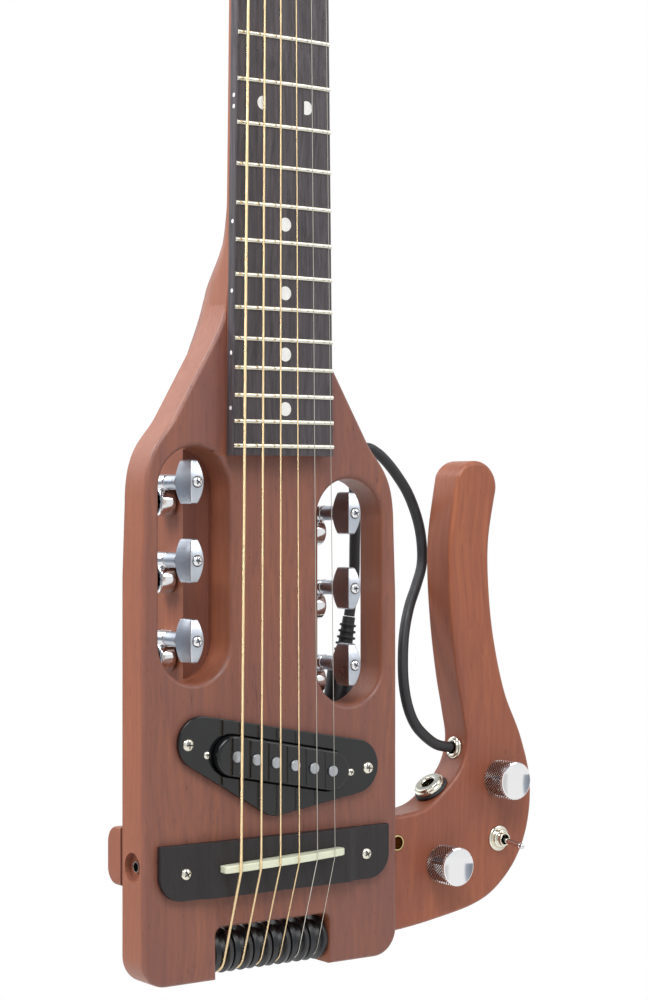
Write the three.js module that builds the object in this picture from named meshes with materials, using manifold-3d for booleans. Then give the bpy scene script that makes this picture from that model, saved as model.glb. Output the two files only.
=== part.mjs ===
import * as THREE from 'three';
import { mergeVertices } from 'three/addons/utils/BufferGeometryUtils.js';
import Module from 'manifold-3d';

// A headless travel guitar with its tuners in two slots of the body and a detachable lap rest.
// Millimetres. X points to the treble side, Y from the front face to the back, Z up to the head.
// The origin is the bottom end of the body, on the centre line, in the plane of the front face.

const wasm = await Module();
wasm.setup();

// Driving dimensions

const fit = {
  glue: 0.1,
  slide: 0.3,
  running: 0.3,
  seat: 0.12,
  overrun: 6,
};

const scale = {
  length: 628.65,
  saddleZ: 52.1,
  fretCount: 22,
  semitones: 12,
  headLength: 30.45,
};

const body = {
  halfWidth: 66.7,
  waistHalfWidth: 65.6,
  thickness: 18.6,
  roundover: 2.2,
  cornerRadius: 12,
  straightBelowSlot: 56,
  sideBelowSlot: 24,
  flankOuterX: 50.5,
  flankOuterRise: 13.2,
  flankInnerX: 35.8,
  flankInnerRise: 38.2,
  cornerPullIn: 11.9,
  cornerPullUp: 25,
  tipX: 24.2,
  tipRise: 70,
  tipPullIn: 11,
  tipPullDown: 13,
  trebleDrop: 10,
  glueLineX: 27,
};

const slot = {
  innerX: 22.75,
  outerX: 58.5,
  length: 100.8,
  centreZ: 177.6,
  trebleDrop: 13.2,
};

const notch = { halfWidth: 30.5, height: 22.3, cornerRadius: 3.5 };

const block = {
  halfWidth: 35.6,
  depth: 45,
  cornerRadius: 3,
  heelStartZ: 226,
  channelHalfWidth: 27.5,
  channelFloorY: 16.5,
  shelfY: 20.6,
  shelfZ: 112,
  channelTopZ: 214,
};

const cheek = { outerX: 65, bottomZ: 63.2, topZ: 104, frontY: 19.2, backY: 44, cornerRadius: 5 };

const rib = { backY: 29.9, bottomZ: 41.5, topZ: 66.3, cornerRadius: 7 };

const neck = {
  boardPlane: 1.8,
  depth: 14.2,
  padDepth: 1,
  startZ: 330,
  rodHalfWidth: 3.1,
  rodDepth: 9,
  rodLowZ: 262,
  rodNutGap: 8.75,
};

const board = {
  nutHalfWidth: 20.75,
  endHalfWidth: 26.5,
  endOverhang: 4.1,
  thickness: 6,
  radius: 305,
  fretWidth: 2.1,
  fretHeight: 0.95,
  fretInset: 0.4,
};

const nut = { length: 4.8, rise: 1.5, endInset: 0.3, grooveDepth: 0.35 };

const anchor = { nutGap: 13.25, length: 10, height: 5.6, halfWidth: 20, holeRadius: 0.95, holeRise: 2.6 };

const strings = {
  pitch: 9.9,
  nutSpread: 35,
  radii: [0.675, 0.535, 0.41, 0.305, 0.205, 0.15],
  ballRadius: 1.9,
  ballLength: 3.4,
  headGap: 1,
  windingTurns: 2,
  windingGap: 0.45,
  windingX: [22, 16.2, 10.4],
};

const bridge = {
  halfWidth: 60,
  lowZ: 36.2,
  highZ: 60,
  cornerRadius: 11,
  endHeight: 3,
  height: 5.1,
  raisedHalfWidth: 36,
  bevelRun: 7,
};

const saddle = {
  length: 62.6,
  width: 3.2,
  height: 10.9,
  slant: 2.4,
  depth: 4,
  endHeight: 8.2,
  compensation: 2.5,
};

const pickup = {
  plateThickness: 2.5,
  bassX: -39.2,
  bassZ: 102.3,
  bassRadius: 11.4,
  trebleX: 42,
  trebleZ: 86.8,
  trebleRadius: 12,
  apexX: -1.2,
  apexZ: 79,
  apexRadius: 10.7,
  centreX: 0.7,
  centreZ: 91.1,
  length: 70,
  width: 17.4,
  rise: 4.2,
  bodyDepth: 11,
  poleRadius: 2.4,
  poleRise: 0.5,
  polePitch: 10.2,
  clearance: 0.4,
  cavityMargin: 1.2,
  cavityDepth: 12.5,
};

const roller = {
  axisY: 10.8,
  axisZ: 10.6,
  rimRadius: 9.9,
  grooveRadius: 7.8,
  width: 9.1,
  rimWidth: 2.2,
  grooveHalfWidth: 1.3,
  chamfer: 0.6,
  axleRadius: 2,
  axleSeat: 8,
};

// The worms' places up a slot from its middle, as shares of the slot's length, the highest first
const tunerUpShares = [0.3512, 0.0188, -0.3194];

const tuner = {
  wormX: 41.3,
  trebleDrop: 13.6,
  centreDistance: 8.5,
  postY: 29,
  postRadius: 3,
  postTipX: 5.4,
  wheelRadius: 5.6,
  wheelWidth: 5,
  toothDepth: 0.7,
  teeth: 14,
  wormRadius: 2.5,
  wormRootRadius: 1.9,
  shaftRadius: 1.4,
  wormPitch: 1.8,
  wormLength: 7,
  shaftEnd: 6,
  housingDepth: 10.9,
  housingBevel: 1.1,
  gearCaseRadius: 8.2,
  barrelHalfHeight: 4.4,
  barrelFront: 8.4,
  barrelBack: 8.6,
  barrelCorner: 2.2,
  boreRadius: 2.9,
  pocketRadius: 6.9,
  wall: 2.2,
  buttonFrontY: -1.4,
  buttonBackY: 10.3,
  buttonHeight: 18.8,
  buttonWidth: 7,
  buttonEndWidth: 3.6,
  buttonFrontBow: 2.4,
  buttonBackBow: 1.7,
  bossSink: 1.6,
  bossRadius: 5.4,
  bossLength: 3,
  collarRadius: 3.3,
};

const rest = {
  frontY: 11,
  thickness: 18.8,
  roundover: 3,
  innerX: 66.7,
  reach: 88.3,
  lowZ: 7.3,
  height: 216.2,
  tipRadius: 11.4,
  tipStart: -20,
  tipEnd: 188,
  barTopZ: 61,
  wingGap: 0.5,
  cavityWall: 4,
  coverThickness: 2,
  coverLip: 5,
};

// The middle of the lap rest's tip, its outer edge down to the body, then its inner edge back up to the tip.
// Across: shares of the reach from the body's side. Up: shares of the height above the low edge.
const restTipShare = [0.6217, 0.9468];
const restOuterShares = [
  [0.7, 0.83],
  [0.701, 0.735],
  [0.735, 0.62],
  [0.812, 0.496],
  [0.925, 0.398],
  [0.995, 0.3],
  [0.983, 0.205],
  [0.902, 0.125],
  [0.76, 0.065],
  [0.6, 0.034],
  [0.35, 0.014],
  [0.14, 0.003],
];
const restInnerShares = [
  [0.135, 0.246],
  [0.29, 0.256],
  [0.41, 0.288],
  [0.505, 0.333],
  [0.553, 0.39],
  [0.556, 0.447],
  [0.515, 0.53],
  [0.462, 0.64],
  [0.44, 0.755],
  [0.449, 0.85],
  [0.474, 0.9],
];

const bar = { frontY: 23.3, backY: 27.3, lowZ: 46, highZ: 60, bassEnd: 58, restEnd: 60 };

const knob = {
  radius: 9,
  height: 12.3,
  flutes: 24,
  fluteDepth: 0.35,
  bevel: 0.5,
  shaftRadius: 3,
  shaftLength: 9,
  potRadius: 8.2,
  potHeight: 8,
  bushRadius: 4.6,
  volumeX: 135.7,
  volumeZ: 73.2,
  toneX: 101,
  toneZ: 36.1,
};

const toggle = {
  x: 135.4,
  z: 44.9,
  washerRadius: 6,
  washerHeight: 0.9,
  nutRadius: 4.6,
  nutHeight: 2.2,
  bushRadius: 3.1,
  bushHeight: 5,
  boreRadius: 2.4,
  bodyHalfX: 4,
  bodyHalfZ: 6.3,
  bodyDepth: 9,
  pivotRise: 1.6,
  leverLength: 18.3,
  leverRadius: 1.1,
  leverTipRadius: 1.75,
  restAngle: 11,
};

// The output jack and the cable's eyelet aim square to the inner edge of the lap rest, in degrees from +X

const outlet = {
  x: 101.4,
  z: 68.9,
  aim: 125.8,
  washerRadius: 7,
  nutRadius: 5.9,
  boreRadius: 3.3,
  length: 14,
  rise: 2.6,
};

const eyelet = {
  x: 115.6,
  z: 88.4,
  aim: 174.3,
  rimRadius: 5.4,
  boreRadius: 2.9,
  wall: 1.2,
  rise: 1.6,
  depth: 8,
};

const insert = { x: 75.2, z: 48, radius: 3.65, boreRadius: 2.2, depth: 8, rise: 0.3 };

const socket = {
  y: 8.8,
  z: 50.7,
  recessRadius: 6.2,
  recessDepth: 3,
  radius: 2.5,
  boreRadius: 1.95,
  length: 12,
};

// The lead: a plug that stands in the jack of the cheek, and its cable to the lap rest
const lead = {
  jackX: 54.7,
  jackY: 32,
  tilt: 10,
  jackNutRadius: 6.8,
  jackNutHeight: 2.4,
  jackBarrelRadius: 5.2,
  jackDepth: 26,
  jackBoreRadius: 3.4,
  plugRadius: 6.5,
  plugLength: 26,
  tipRadius: 3.1,
  tipLength: 22,
  reliefLength: 19,
  reliefRadius: 3.6,
  reliefNeckRadius: 2.9,
  ribs: 6,
  ribRadius: 5,
  ribTopRadius: 3.8,
  ribPitch: 2.9,
  ribWidth: 1.1,
  cableRadius: 2.5,
};

// The cable's route from the strain relief to the eyelet, chosen by hand
const leadRoute = [
  [63.1, 32, 151.6],
  [64.1, 32, 157.5],
  [65.2, 32, 163.6],
  [66.2, 32.2, 172.4],
  [66.7, 32.6, 183],
  [67.2, 33, 195],
  [67.3, 33.6, 207],
  [67.6, 34.2, 218],
  [70.2, 34.8, 226.5],
  [75.4, 35.1, 229.6],
  [81.3, 35.2, 227.6],
  [87, 35.2, 223.4],
  [93.8, 35.2, 216.4],
  [100.3, 35.3, 207.8],
  [105.7, 35.3, 196],
  [108.2, 35.3, 185],
  [108, 35, 174.5],
  [103.8, 33.6, 165.2],
  [97.6, 31, 155.4],
  [92.4, 28, 144.2],
  [89.4, 25.4, 132.4],
  [87.9, 22.8, 119.6],
  [89, 21, 108.8],
  [93, 20.6, 100.4],
  [99.3, 20.4, 94.2],
  [106, 20.4, 90.2],
  [113.7, 20.4, 88.6],
];

const sides = { fine: 28, roller: 12, turned: 16, small: 10, string: 5, hex: 6, cable: 8, worm: 6, ring: 8 };
const steps = {
  curve: 4,
  fewCurve: 3,
  spline: 2,
  bevel: 2,
  cable: 40,
  rollerWrap: 11,
  windingTurn: 14,
  neckHalf: 6,
  acrossBoard: 4,
  threadTurn: 3,
};

// Finishes

function finish(color, roughness, metalness) {
  return new THREE.MeshStandardMaterial({ color, roughness, metalness });
}

const stainedWood = finish('#8a5a4e', 0.55, 0);
const boardWood = finish('#4a4548', 0.6, 0);
const bridgeWood = finish('#3d3639', 0.55, 0);
const bone = finish('#e8edd0', 0.4, 0);
const chrome = finish('#cdd1d6', 0.25, 1);
const steel = finish('#b9bcc0', 0.35, 1);
const brass = finish('#b9924a', 0.35, 1);
const bronze = finish('#e0b878', 0.35, 1);
const glossBlack = finish('#26272a', 0.15, 0);
const blackPlastic = finish('#1d1e20', 0.4, 0);
const blackRubber = finish('#26272a', 0.6, 0);

// Frame and shape helpers

const xAxis = new THREE.Vector3(1, 0, 0);
const yAxis = new THREE.Vector3(0, 1, 0);
const zAxis = new THREE.Vector3(0, 0, 1);
const vec = (x, y, z) => new THREE.Vector3(x, y, z);
const radians = THREE.MathUtils.degToRad;

// A closed triangle mesh turned so that its faces point out
function solidOf(geometry) {
  const bare = geometry.clone();
  bare.deleteAttribute('normal');
  bare.deleteAttribute('uv');
  const merged = mergeVertices(bare);
  const corners = merged.attributes.position.array;
  const faces = new Uint32Array(merged.index.array);
  if (signedVolume(corners, faces) < 0) {
    for (let i = 0; i < faces.length; i += 3) {
      [faces[i], faces[i + 1]] = [faces[i + 1], faces[i]];
    }
  }
  return new wasm.Manifold(new wasm.Mesh({ numProp: 3, vertProperties: corners, triVerts: faces }));
}

function signedVolume(corners, faces) {
  const point = (i) => new THREE.Vector3().fromArray(corners, faces[i] * 3);
  let volume = 0;
  for (let i = 0; i < faces.length; i += 3) {
    volume += point(i).dot(point(i + 1).cross(point(i + 2)));
  }
  return volume;
}

function geometryOf(solid) {
  const mesh = solid.getMesh();
  const geometry = new THREE.BufferGeometry();
  geometry.setAttribute('position', new THREE.BufferAttribute(mesh.vertProperties, 3));
  geometry.setIndex(new THREE.BufferAttribute(mesh.triVerts, 1));
  const flat = geometry.toNonIndexed();
  flat.computeVertexNormals();
  return flat;
}

const asSolid = (shape) => (shape.isBufferGeometry ? solidOf(shape) : shape);
const join = (first, ...others) => others.reduce((sum, next) => sum.add(asSolid(next)), asSolid(first));
const cut = (first, ...others) => others.reduce((left, next) => left.subtract(asSolid(next)), asSolid(first));
const keep = (first, second) => asSolid(first).intersect(asSolid(second));

function box(lowX, highX, lowY, highY, lowZ, highZ) {
  const geometry = new THREE.BoxGeometry(highX - lowX, highY - lowY, highZ - lowZ);
  return geometry.translate((lowX + highX) / 2, (lowY + highY) / 2, (lowZ + highZ) / 2);
}

// A flat outline, extruded along local Z and rounded over at both faces
function prism(outline, length, roundover, curveSteps = steps.curve) {
  return new THREE.ExtrudeGeometry(outline, {
    depth: length - 2 * roundover,
    curveSegments: curveSteps,
    bevelEnabled: roundover > 0,
    bevelSize: roundover,
    bevelThickness: roundover,
    bevelOffset: -roundover,
    bevelSegments: curveSteps === steps.fewCurve ? 1 : steps.bevel,
  }).translate(0, 0, roundover);
}

// An outline drawn in X and Z, between two depths
function slabY(outline, lowY, highY, roundover = 0, curveSteps = steps.curve) {
  return prism(outline, highY - lowY, roundover, curveSteps).translate(0, 0, -highY).rotateX(Math.PI / 2);
}

// An outline drawn in Y and Z, between two places along X
function slabX(outline, lowX, highX, roundover = 0, curveSteps = steps.curve) {
  const turn = new THREE.Matrix4().makeBasis(yAxis, zAxis, xAxis);
  return prism(outline, highX - lowX, roundover, curveSteps).translate(0, 0, lowX).applyMatrix4(turn);
}

// An outline drawn in X and Y, between two heights
function slabZ(outline, lowZ, highZ, roundover = 0) {
  return prism(outline, highZ - lowZ, roundover).translate(0, 0, lowZ);
}

// A profile of [radius, distance] pairs revolved about a line from start along direction
function turned(profile, start, direction, segments = sides.turned) {
  const points = profile.map(([radius, along]) => new THREE.Vector2(radius, along));
  const turn = new THREE.Quaternion().setFromUnitVectors(yAxis, direction.clone().normalize());
  const geometry = new THREE.LatheGeometry(points, segments);
  return geometry.applyQuaternion(turn).translate(start.x, start.y, start.z);
}

function rod(start, end, radius, segments = sides.small) {
  const span = end.clone().sub(start);
  const profile = [[0, 0], [radius, 0], [radius, span.length()], [0, span.length()]];
  return turned(profile, start, span, segments);
}

// A cutter whose flats, not its corners, are at the radius
function bore(start, end, radius, segments = sides.small) {
  return rod(start, end, radius / Math.cos(Math.PI / segments), segments);
}

// A skin through rings of equally many points, closed by a fan at each end
function loft(rings) {
  const count = rings[0].length;
  const middle = (ring) => ring.reduce((sum, p) => sum.add(p), vec(0, 0, 0)).divideScalar(count);
  const points = [...rings.flat(), middle(rings[0]), middle(rings[rings.length - 1])];
  const faces = [];
  for (let r = 0; r < rings.length - 1; r += 1) {
    for (let i = 0; i < count; i += 1) {
      const next = (i + 1) % count;
      const [a, b] = [r * count + i, r * count + next];
      faces.push(a, b, b + count, a, b + count, a + count);
    }
  }
  const last = (rings.length - 1) * count;
  const [bottom, top] = [points.length - 2, points.length - 1];
  for (let i = 0; i < count; i += 1) {
    const next = (i + 1) % count;
    faces.push(bottom, next, i, top, last + i, last + next);
  }
  const geometry = new THREE.BufferGeometry().setFromPoints(points);
  geometry.setIndex(faces);
  return geometry;
}

// A tube along a list of points, whose section is carried along without twist
function tubeAlong(points, radii, count) {
  const rings = [];
  let across = null;
  points.forEach((point, i) => {
    const before = points[Math.max(i - 1, 0)];
    const after = points[Math.min(i + 1, points.length - 1)];
    const along = after.clone().sub(before).normalize();
    const start = across ?? vec(1, 0, 0);
    across = start.clone().addScaledVector(along, -start.dot(along)).normalize();
    const up = along.clone().cross(across);
    rings.push(ringAround(point, across, up, radii[i], count));
  });
  return loft(rings);
}

function ringAround(centre, across, up, radius, count) {
  return Array.from({ length: count }, (_, k) => {
    const angle = (2 * Math.PI * k) / count;
    const reach = across.clone().multiplyScalar(radius * Math.cos(angle));
    return centre.clone().add(reach).addScaledVector(up, radius * Math.sin(angle));
  });
}

// The outline of a belt round circles that are given counter-clockwise
function beltOutline(circles) {
  const outline = new THREE.Shape();
  circles.forEach((circle, i) => {
    const previous = circles[(i + circles.length - 1) % circles.length];
    const next = circles[(i + 1) % circles.length];
    const start = tangentAngle(previous, circle);
    const end = tangentAngle(circle, next);
    outline.absarc(circle.x, circle.y, circle.r, start, end, false);
  });
  return outline;
}

// The direction, from either centre, of the outer tangent that has both circles on its left
function tangentAngle(first, second) {
  const dx = second.x - first.x;
  const dy = second.y - first.y;
  const lean = Math.asin((first.r - second.r) / Math.hypot(dx, dy));
  return Math.atan2(dy, dx) - Math.PI / 2 + lean;
}

function roundedRectangle(lowX, highX, lowY, highY, radius) {
  return beltOutline([
    { x: lowX + radius, y: lowY + radius, r: radius },
    { x: highX - radius, y: lowY + radius, r: radius },
    { x: highX - radius, y: highY - radius, r: radius },
    { x: lowX + radius, y: highY - radius, r: radius },
  ]);
}

// The scene graph

const guitar = new THREE.Group();
const restGroup = new THREE.Group();
guitar.add(restGroup);

function piece(name, shape, material, parent = guitar) {
  const mesh = new THREE.Mesh(geometryOf(asSolid(shape)), material);
  mesh.name = name;
  parent.add(mesh);
  return mesh;
}

// Places that several pieces share

const nutZ = scale.saddleZ + scale.length;
const headEndZ = nutZ + scale.headLength;
const anchorLowZ = nutZ + anchor.nutGap;
const anchorHighZ = anchorLowZ + anchor.length;
const fretZ = (n) => scale.saddleZ + scale.length * 2 ** (-n / scale.semitones);
const boardEndZ = fretZ(scale.fretCount) - board.endOverhang;
const boardTop = -neck.boardPlane - board.thickness;
const nutTop = boardTop - nut.rise;
const boardTaper = (board.endHalfWidth - board.nutHalfWidth) / (nutZ - boardEndZ);
const boardHalf = (z) => board.nutHalfWidth + (nutZ - z) * boardTaper;
const crown = (x) => (x * x) / (2 * board.radius);
const stringCount = strings.radii.length;
const perSide = stringCount / 2;
const stringX = (i) => (i - (stringCount - 1) / 2) * strings.pitch;
const nutStringX = (i) => (i / (stringCount - 1) - 1 / 2) * strings.nutSpread;
const saddleSlope = saddle.slant / saddle.length;
const saddleMidZ = scale.saddleZ - saddle.compensation;
const saddleZAt = (x) => saddleMidZ + x * saddleSlope;
const sideOf = (i) => (i < perSide ? -1 : 1);
const rankOf = (i) => (i < perSide ? i : stringCount - 1 - i);
// The outermost string goes to the lowest post of its side
const wormUp = (i) => tunerUpShares[perSide - 1 - rankOf(i)] * slot.length;
const wormZ = (i) => slot.centreZ + wormUp(i) - (sideOf(i) > 0 ? tuner.trebleDrop : 0);
const postZ = (i) => wormZ(i) - tuner.centreDistance;
const slotTopZ = slot.centreZ + slot.length / 2;
const restBackY = rest.frontY + rest.thickness;
const leadTilt = vec(Math.sin(radians(lead.tilt)), 0, Math.cos(radians(lead.tilt)));

// Outline of the body plate, the treble shoulder lower than the bass one

function bodyOutline() {
  const flank = new THREE.Vector2(body.flankOuterX - body.flankInnerX, body.flankOuterRise - body.flankInnerRise);
  flank.normalize();
  const outerPull = flank.clone().multiplyScalar(body.cornerPullIn);
  const innerPull = flank.clone().multiplyScalar(-body.tipPullIn);
  const shoulder = (drop) => ({
    straight: [body.halfWidth, slotTopZ - body.straightBelowSlot - drop],
    side: [body.waistHalfWidth, slotTopZ - body.sideBelowSlot - drop],
    sidePull: [body.waistHalfWidth, slotTopZ - body.sideBelowSlot + body.cornerPullUp - drop],
    outerPull: [body.flankOuterX + outerPull.x, slotTopZ + body.flankOuterRise + outerPull.y - drop],
    outer: [body.flankOuterX, slotTopZ + body.flankOuterRise - drop],
    inner: [body.flankInnerX, slotTopZ + body.flankInnerRise - drop],
    innerPull: [body.flankInnerX + innerPull.x, slotTopZ + body.flankInnerRise + innerPull.y - drop],
    tipPull: [body.tipX, slotTopZ + body.tipRise - body.tipPullDown - drop],
    tip: [body.tipX, slotTopZ + body.tipRise - drop],
  });
  const right = shoulder(body.trebleDrop);
  const left = shoulder(0);
  const mirror = ([x, z]) => [-x, z];
  const cornerX = body.halfWidth - body.cornerRadius;
  const outline = new THREE.Shape();
  outline.moveTo(-cornerX, 0);
  outline.lineTo(cornerX, 0);
  outline.absarc(cornerX, body.cornerRadius, body.cornerRadius, -Math.PI / 2, 0, false);
  outline.lineTo(...right.straight);
  outline.lineTo(...right.side);
  outline.bezierCurveTo(...right.sidePull, ...right.outerPull, ...right.outer);
  outline.lineTo(...right.inner);
  outline.bezierCurveTo(...right.innerPull, ...right.tipPull, ...right.tip);
  outline.lineTo(...mirror(left.tip));
  outline.bezierCurveTo(...mirror(left.tipPull), ...mirror(left.innerPull), ...mirror(left.inner));
  outline.lineTo(...mirror(left.outer));
  outline.bezierCurveTo(...mirror(left.outerPull), ...mirror(left.sidePull), ...mirror(left.side));
  outline.lineTo(...mirror(left.straight));
  outline.absarc(-cornerX, body.cornerRadius, body.cornerRadius, Math.PI, (3 * Math.PI) / 2, false);
  return outline;
}

function slotOutline(side) {
  const radius = (slot.outerX - slot.innerX) / 2;
  const x = (side * (slot.outerX + slot.innerX)) / 2;
  const z = slot.centreZ - (side > 0 ? slot.trebleDrop : 0);
  const run = slot.length / 2 - radius;
  return beltOutline([
    { x, y: z - run, r: radius },
    { x, y: z + run, r: radius },
  ]);
}

function notchOutline() {
  const { halfWidth, height, cornerRadius } = notch;
  return beltOutline([
    { x: cornerRadius - halfWidth, y: -fit.overrun, r: cornerRadius },
    { x: halfWidth - cornerRadius, y: -fit.overrun, r: cornerRadius },
    { x: halfWidth - cornerRadius, y: height - cornerRadius, r: cornerRadius },
    { x: cornerRadius - halfWidth, y: height - cornerRadius, r: cornerRadius },
  ]);
}

function oblong(centreX, centreZ, length, width, slope) {
  const run = (length - width) / 2;
  const dx = run * Math.cos(slope);
  const dz = run * Math.sin(slope);
  return beltOutline([
    { x: centreX + dx, y: centreZ + dz, r: width / 2 },
    { x: centreX - dx, y: centreZ - dz, r: width / 2 },
  ]);
}

const pickupSlope = Math.atan2(pickup.trebleZ - pickup.bassZ, pickup.trebleX - pickup.bassX);
const pickupOutline = (margin) => {
  const { centreX, centreZ, length, width } = pickup;
  return oblong(centreX, centreZ, length + 2 * margin, width + 2 * margin, pickupSlope);
};

// Body plate with slots, before it is parted at the glue lines

function bodyPlate() {
  const outline = bodyOutline();
  outline.holes.push(slotOutline(-1), slotOutline(1));
  const plate = slabY(outline, 0, body.thickness, body.roundover);
  const opening = slabY(notchOutline(), -fit.overrun, body.thickness + fit.overrun);
  const cavity = slabY(pickupOutline(pickup.cavityMargin), -fit.overrun, pickup.cavityDepth);
  return cut(plate, opening, cavity);
}

const plate = bodyPlate();

function wing(side) {
  const inner = body.glueLineX + fit.glue;
  const outer = body.halfWidth + fit.overrun;
  const [lowX, highX] = side > 0 ? [inner, outer] : [-outer, -inner];
  const half = box(lowX, highX, -fit.overrun, body.thickness + fit.overrun, -fit.overrun, scale.length);
  const axleHole = bore(
    vec(side * (notch.halfWidth - fit.overrun), roller.axisY, roller.axisZ),
    vec(side * (notch.halfWidth + roller.axleSeat + fit.running), roller.axisY, roller.axisZ),
    roller.axleRadius + fit.seat,
  );
  return cut(keep(plate, half), axleHole);
}

function socketRecess() {
  const start = vec(-body.halfWidth - fit.overrun, socket.y, socket.z);
  const recess = vec(socket.recessDepth - body.halfWidth, socket.y, socket.z);
  const end = vec(socket.length + socket.recessDepth - body.halfWidth, socket.y, socket.z);
  const wide = bore(start, recess, socket.recessRadius, sides.turned);
  return join(wide, bore(start, end, socket.radius + fit.seat));
}

piece('bass_wing', cut(wing(-1), socketRecess()), stainedWood);
piece('treble_wing', wing(1), stainedWood);

// Centre beam: neck, heel and block in one length of wood

// Heel and neck stations: height as a share of the way from the block to the plain neck,
// half width and depth as shares between the neck's and the block's, and the squareness.
const heelShares = [
  { up: 0, wide: 1, deep: 1, square: 30 },
  { up: 0.11, wide: 0.93, deep: 0.93, square: 14 },
  { up: 0.22, wide: 0.78, deep: 0.8, square: 10 },
  { up: 0.33, wide: 0.5, deep: 0.66, square: 8 },
  { up: 0.44, wide: 0.22, deep: 0.5, square: 7 },
  { up: 0.55, wide: 0.05, deep: 0.36, square: 6 },
  { up: 0.66, wide: 0, deep: 0.235, square: 5.2 },
  { up: 0.76, wide: 0, deep: 0.14, square: 4 },
  { up: 0.86, wide: 0, deep: 0.05, square: 2.7 },
  { up: 1, wide: 0, deep: 0, square: 1.55 },
];

function beamSection(z, halfWidth, depth, squareness) {
  const count = 2 * steps.neckHalf;
  return Array.from({ length: count + 1 }, (_, i) => {
    const angle = (Math.PI * i) / count;
    const across = Math.abs(Math.cos(angle)) ** (2 / squareness) * Math.sign(Math.cos(angle));
    const down = Math.sin(angle) ** (2 / squareness);
    return vec(halfWidth * across, depth * down, z);
  });
}

function beamBlank() {
  const { halfWidth: blockHalf, depth, cornerRadius, heelStartZ } = block;
  const low = slabZ(roundedRectangle(-blockHalf, blockHalf, 0, depth, cornerRadius), 0, heelStartZ);
  const rings = [];
  heelShares.forEach(({ up, wide, deep, square }) => {
    const z = heelStartZ + up * (neck.startZ - heelStartZ);
    const slim = boardHalf(z);
    const halfWidth = slim + wide * (blockHalf - slim);
    rings.push(beamSection(z, halfWidth, neck.depth + deep * (depth - neck.depth), square));
  });
  const plain = heelShares[heelShares.length - 1].square;
  rings.push(beamSection(headEndZ, boardHalf(headEndZ), neck.depth, plain));
  return join(low, loft(rings));
}

function boardPad() {
  const outline = new THREE.Shape();
  outline.moveTo(-boardHalf(boardEndZ), boardEndZ);
  outline.lineTo(boardHalf(boardEndZ), boardEndZ);
  outline.lineTo(boardHalf(headEndZ), headEndZ);
  outline.lineTo(-boardHalf(headEndZ), headEndZ);
  return slabY(outline, -neck.boardPlane, neck.padDepth);
}

function cheekSolid() {
  const outline = roundedRectangle(0, cheek.outerX, cheek.frontY, cheek.backY, cheek.cornerRadius);
  const blank = slabZ(outline, cheek.bottomZ, cheek.topZ + fit.overrun);
  // The top slopes so that the plug stands square on it
  const top = new THREE.BoxGeometry(2 * cheek.outerX, 2 * block.depth, cheek.outerX);
  top.translate(0, 0, cheek.outerX / 2).rotateY(radians(lead.tilt));
  top.translate(lead.jackX, lead.jackY, cheek.topZ);
  const jackStart = vec(lead.jackX, lead.jackY, cheek.topZ);
  const jackBore = bore(
    jackStart.clone().addScaledVector(leadTilt, fit.overrun),
    jackStart.clone().addScaledVector(leadTilt, -lead.jackDepth - fit.running),
    lead.jackBarrelRadius + fit.seat,
    sides.turned,
  );
  const inside = box(-block.halfWidth, block.halfWidth - fit.overrun, 0, block.depth, 0, scale.length);
  return cut(blank, top, jackBore, inside);
}

function postHole(i) {
  const side = sideOf(i);
  const start = vec(side * (block.channelHalfWidth - fit.overrun), tuner.postY, postZ(i));
  const end = vec(side * (block.halfWidth + fit.overrun), tuner.postY, postZ(i));
  return bore(start, end, tuner.postRadius + fit.running);
}

function centreBeam() {
  const middle = box(
    -body.glueLineX,
    body.glueLineX,
    -fit.overrun,
    body.thickness + fit.overrun,
    -fit.overrun,
    scale.length,
  );
  const behind = body.thickness + fit.glue;
  const wingRoom = (lowX, highX) => box(lowX, highX, -fit.overrun, behind, -fit.overrun, slotTopZ + body.tipRise);
  const far = body.halfWidth;
  // The plate's own slots and cavities are kept by cutting the blank back to the plate's back face
  const blankRoom = box(-far, far, -fit.overrun, body.thickness - body.roundover, -fit.overrun, boardEndZ);
  const solid = join(
    cut(beamBlank(), wingRoom(-far, -body.glueLineX), wingRoom(body.glueLineX, far), blankRoom),
    keep(plate, middle),
    boardPad(),
    cheekSolid(),
  );
  // The channel is shallower beside the slots, where a shelf of the block shows in them
  const channelPart = (floorY, lowZ, highZ) =>
    box(-block.channelHalfWidth, block.channelHalfWidth, floorY, block.depth + fit.overrun, lowZ, highZ);
  const channel = join(
    channelPart(block.channelFloorY, -fit.overrun, block.shelfZ),
    channelPart(block.shelfY, block.shelfZ - fit.overrun, block.channelTopZ),
  );
  const rodChannel = box(
    -neck.rodHalfWidth,
    neck.rodHalfWidth,
    -neck.boardPlane - fit.overrun,
    neck.rodDepth,
    neck.rodLowZ,
    nutZ - neck.rodNutGap,
  );
  const mortise = box(
    -block.halfWidth - fit.overrun,
    block.halfWidth + fit.overrun,
    bar.frontY - fit.slide,
    bar.backY + fit.slide,
    bar.lowZ - fit.slide,
    bar.highZ + fit.slide,
  );
  const opening = slabY(notchOutline(), -fit.overrun, block.depth + fit.overrun);
  const wiring = bore(
    vec(0, 0, pickup.centreZ),
    vec(0, block.channelFloorY + fit.overrun, pickup.centreZ),
    insert.boreRadius,
  );
  const holes = strings.radii.map((_, i) => postHole(i));
  return cut(solid, channel, rodChannel, mortise, opening, wiring, ...holes);
}

piece('center_beam', centreBeam(), stainedWood);

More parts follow.
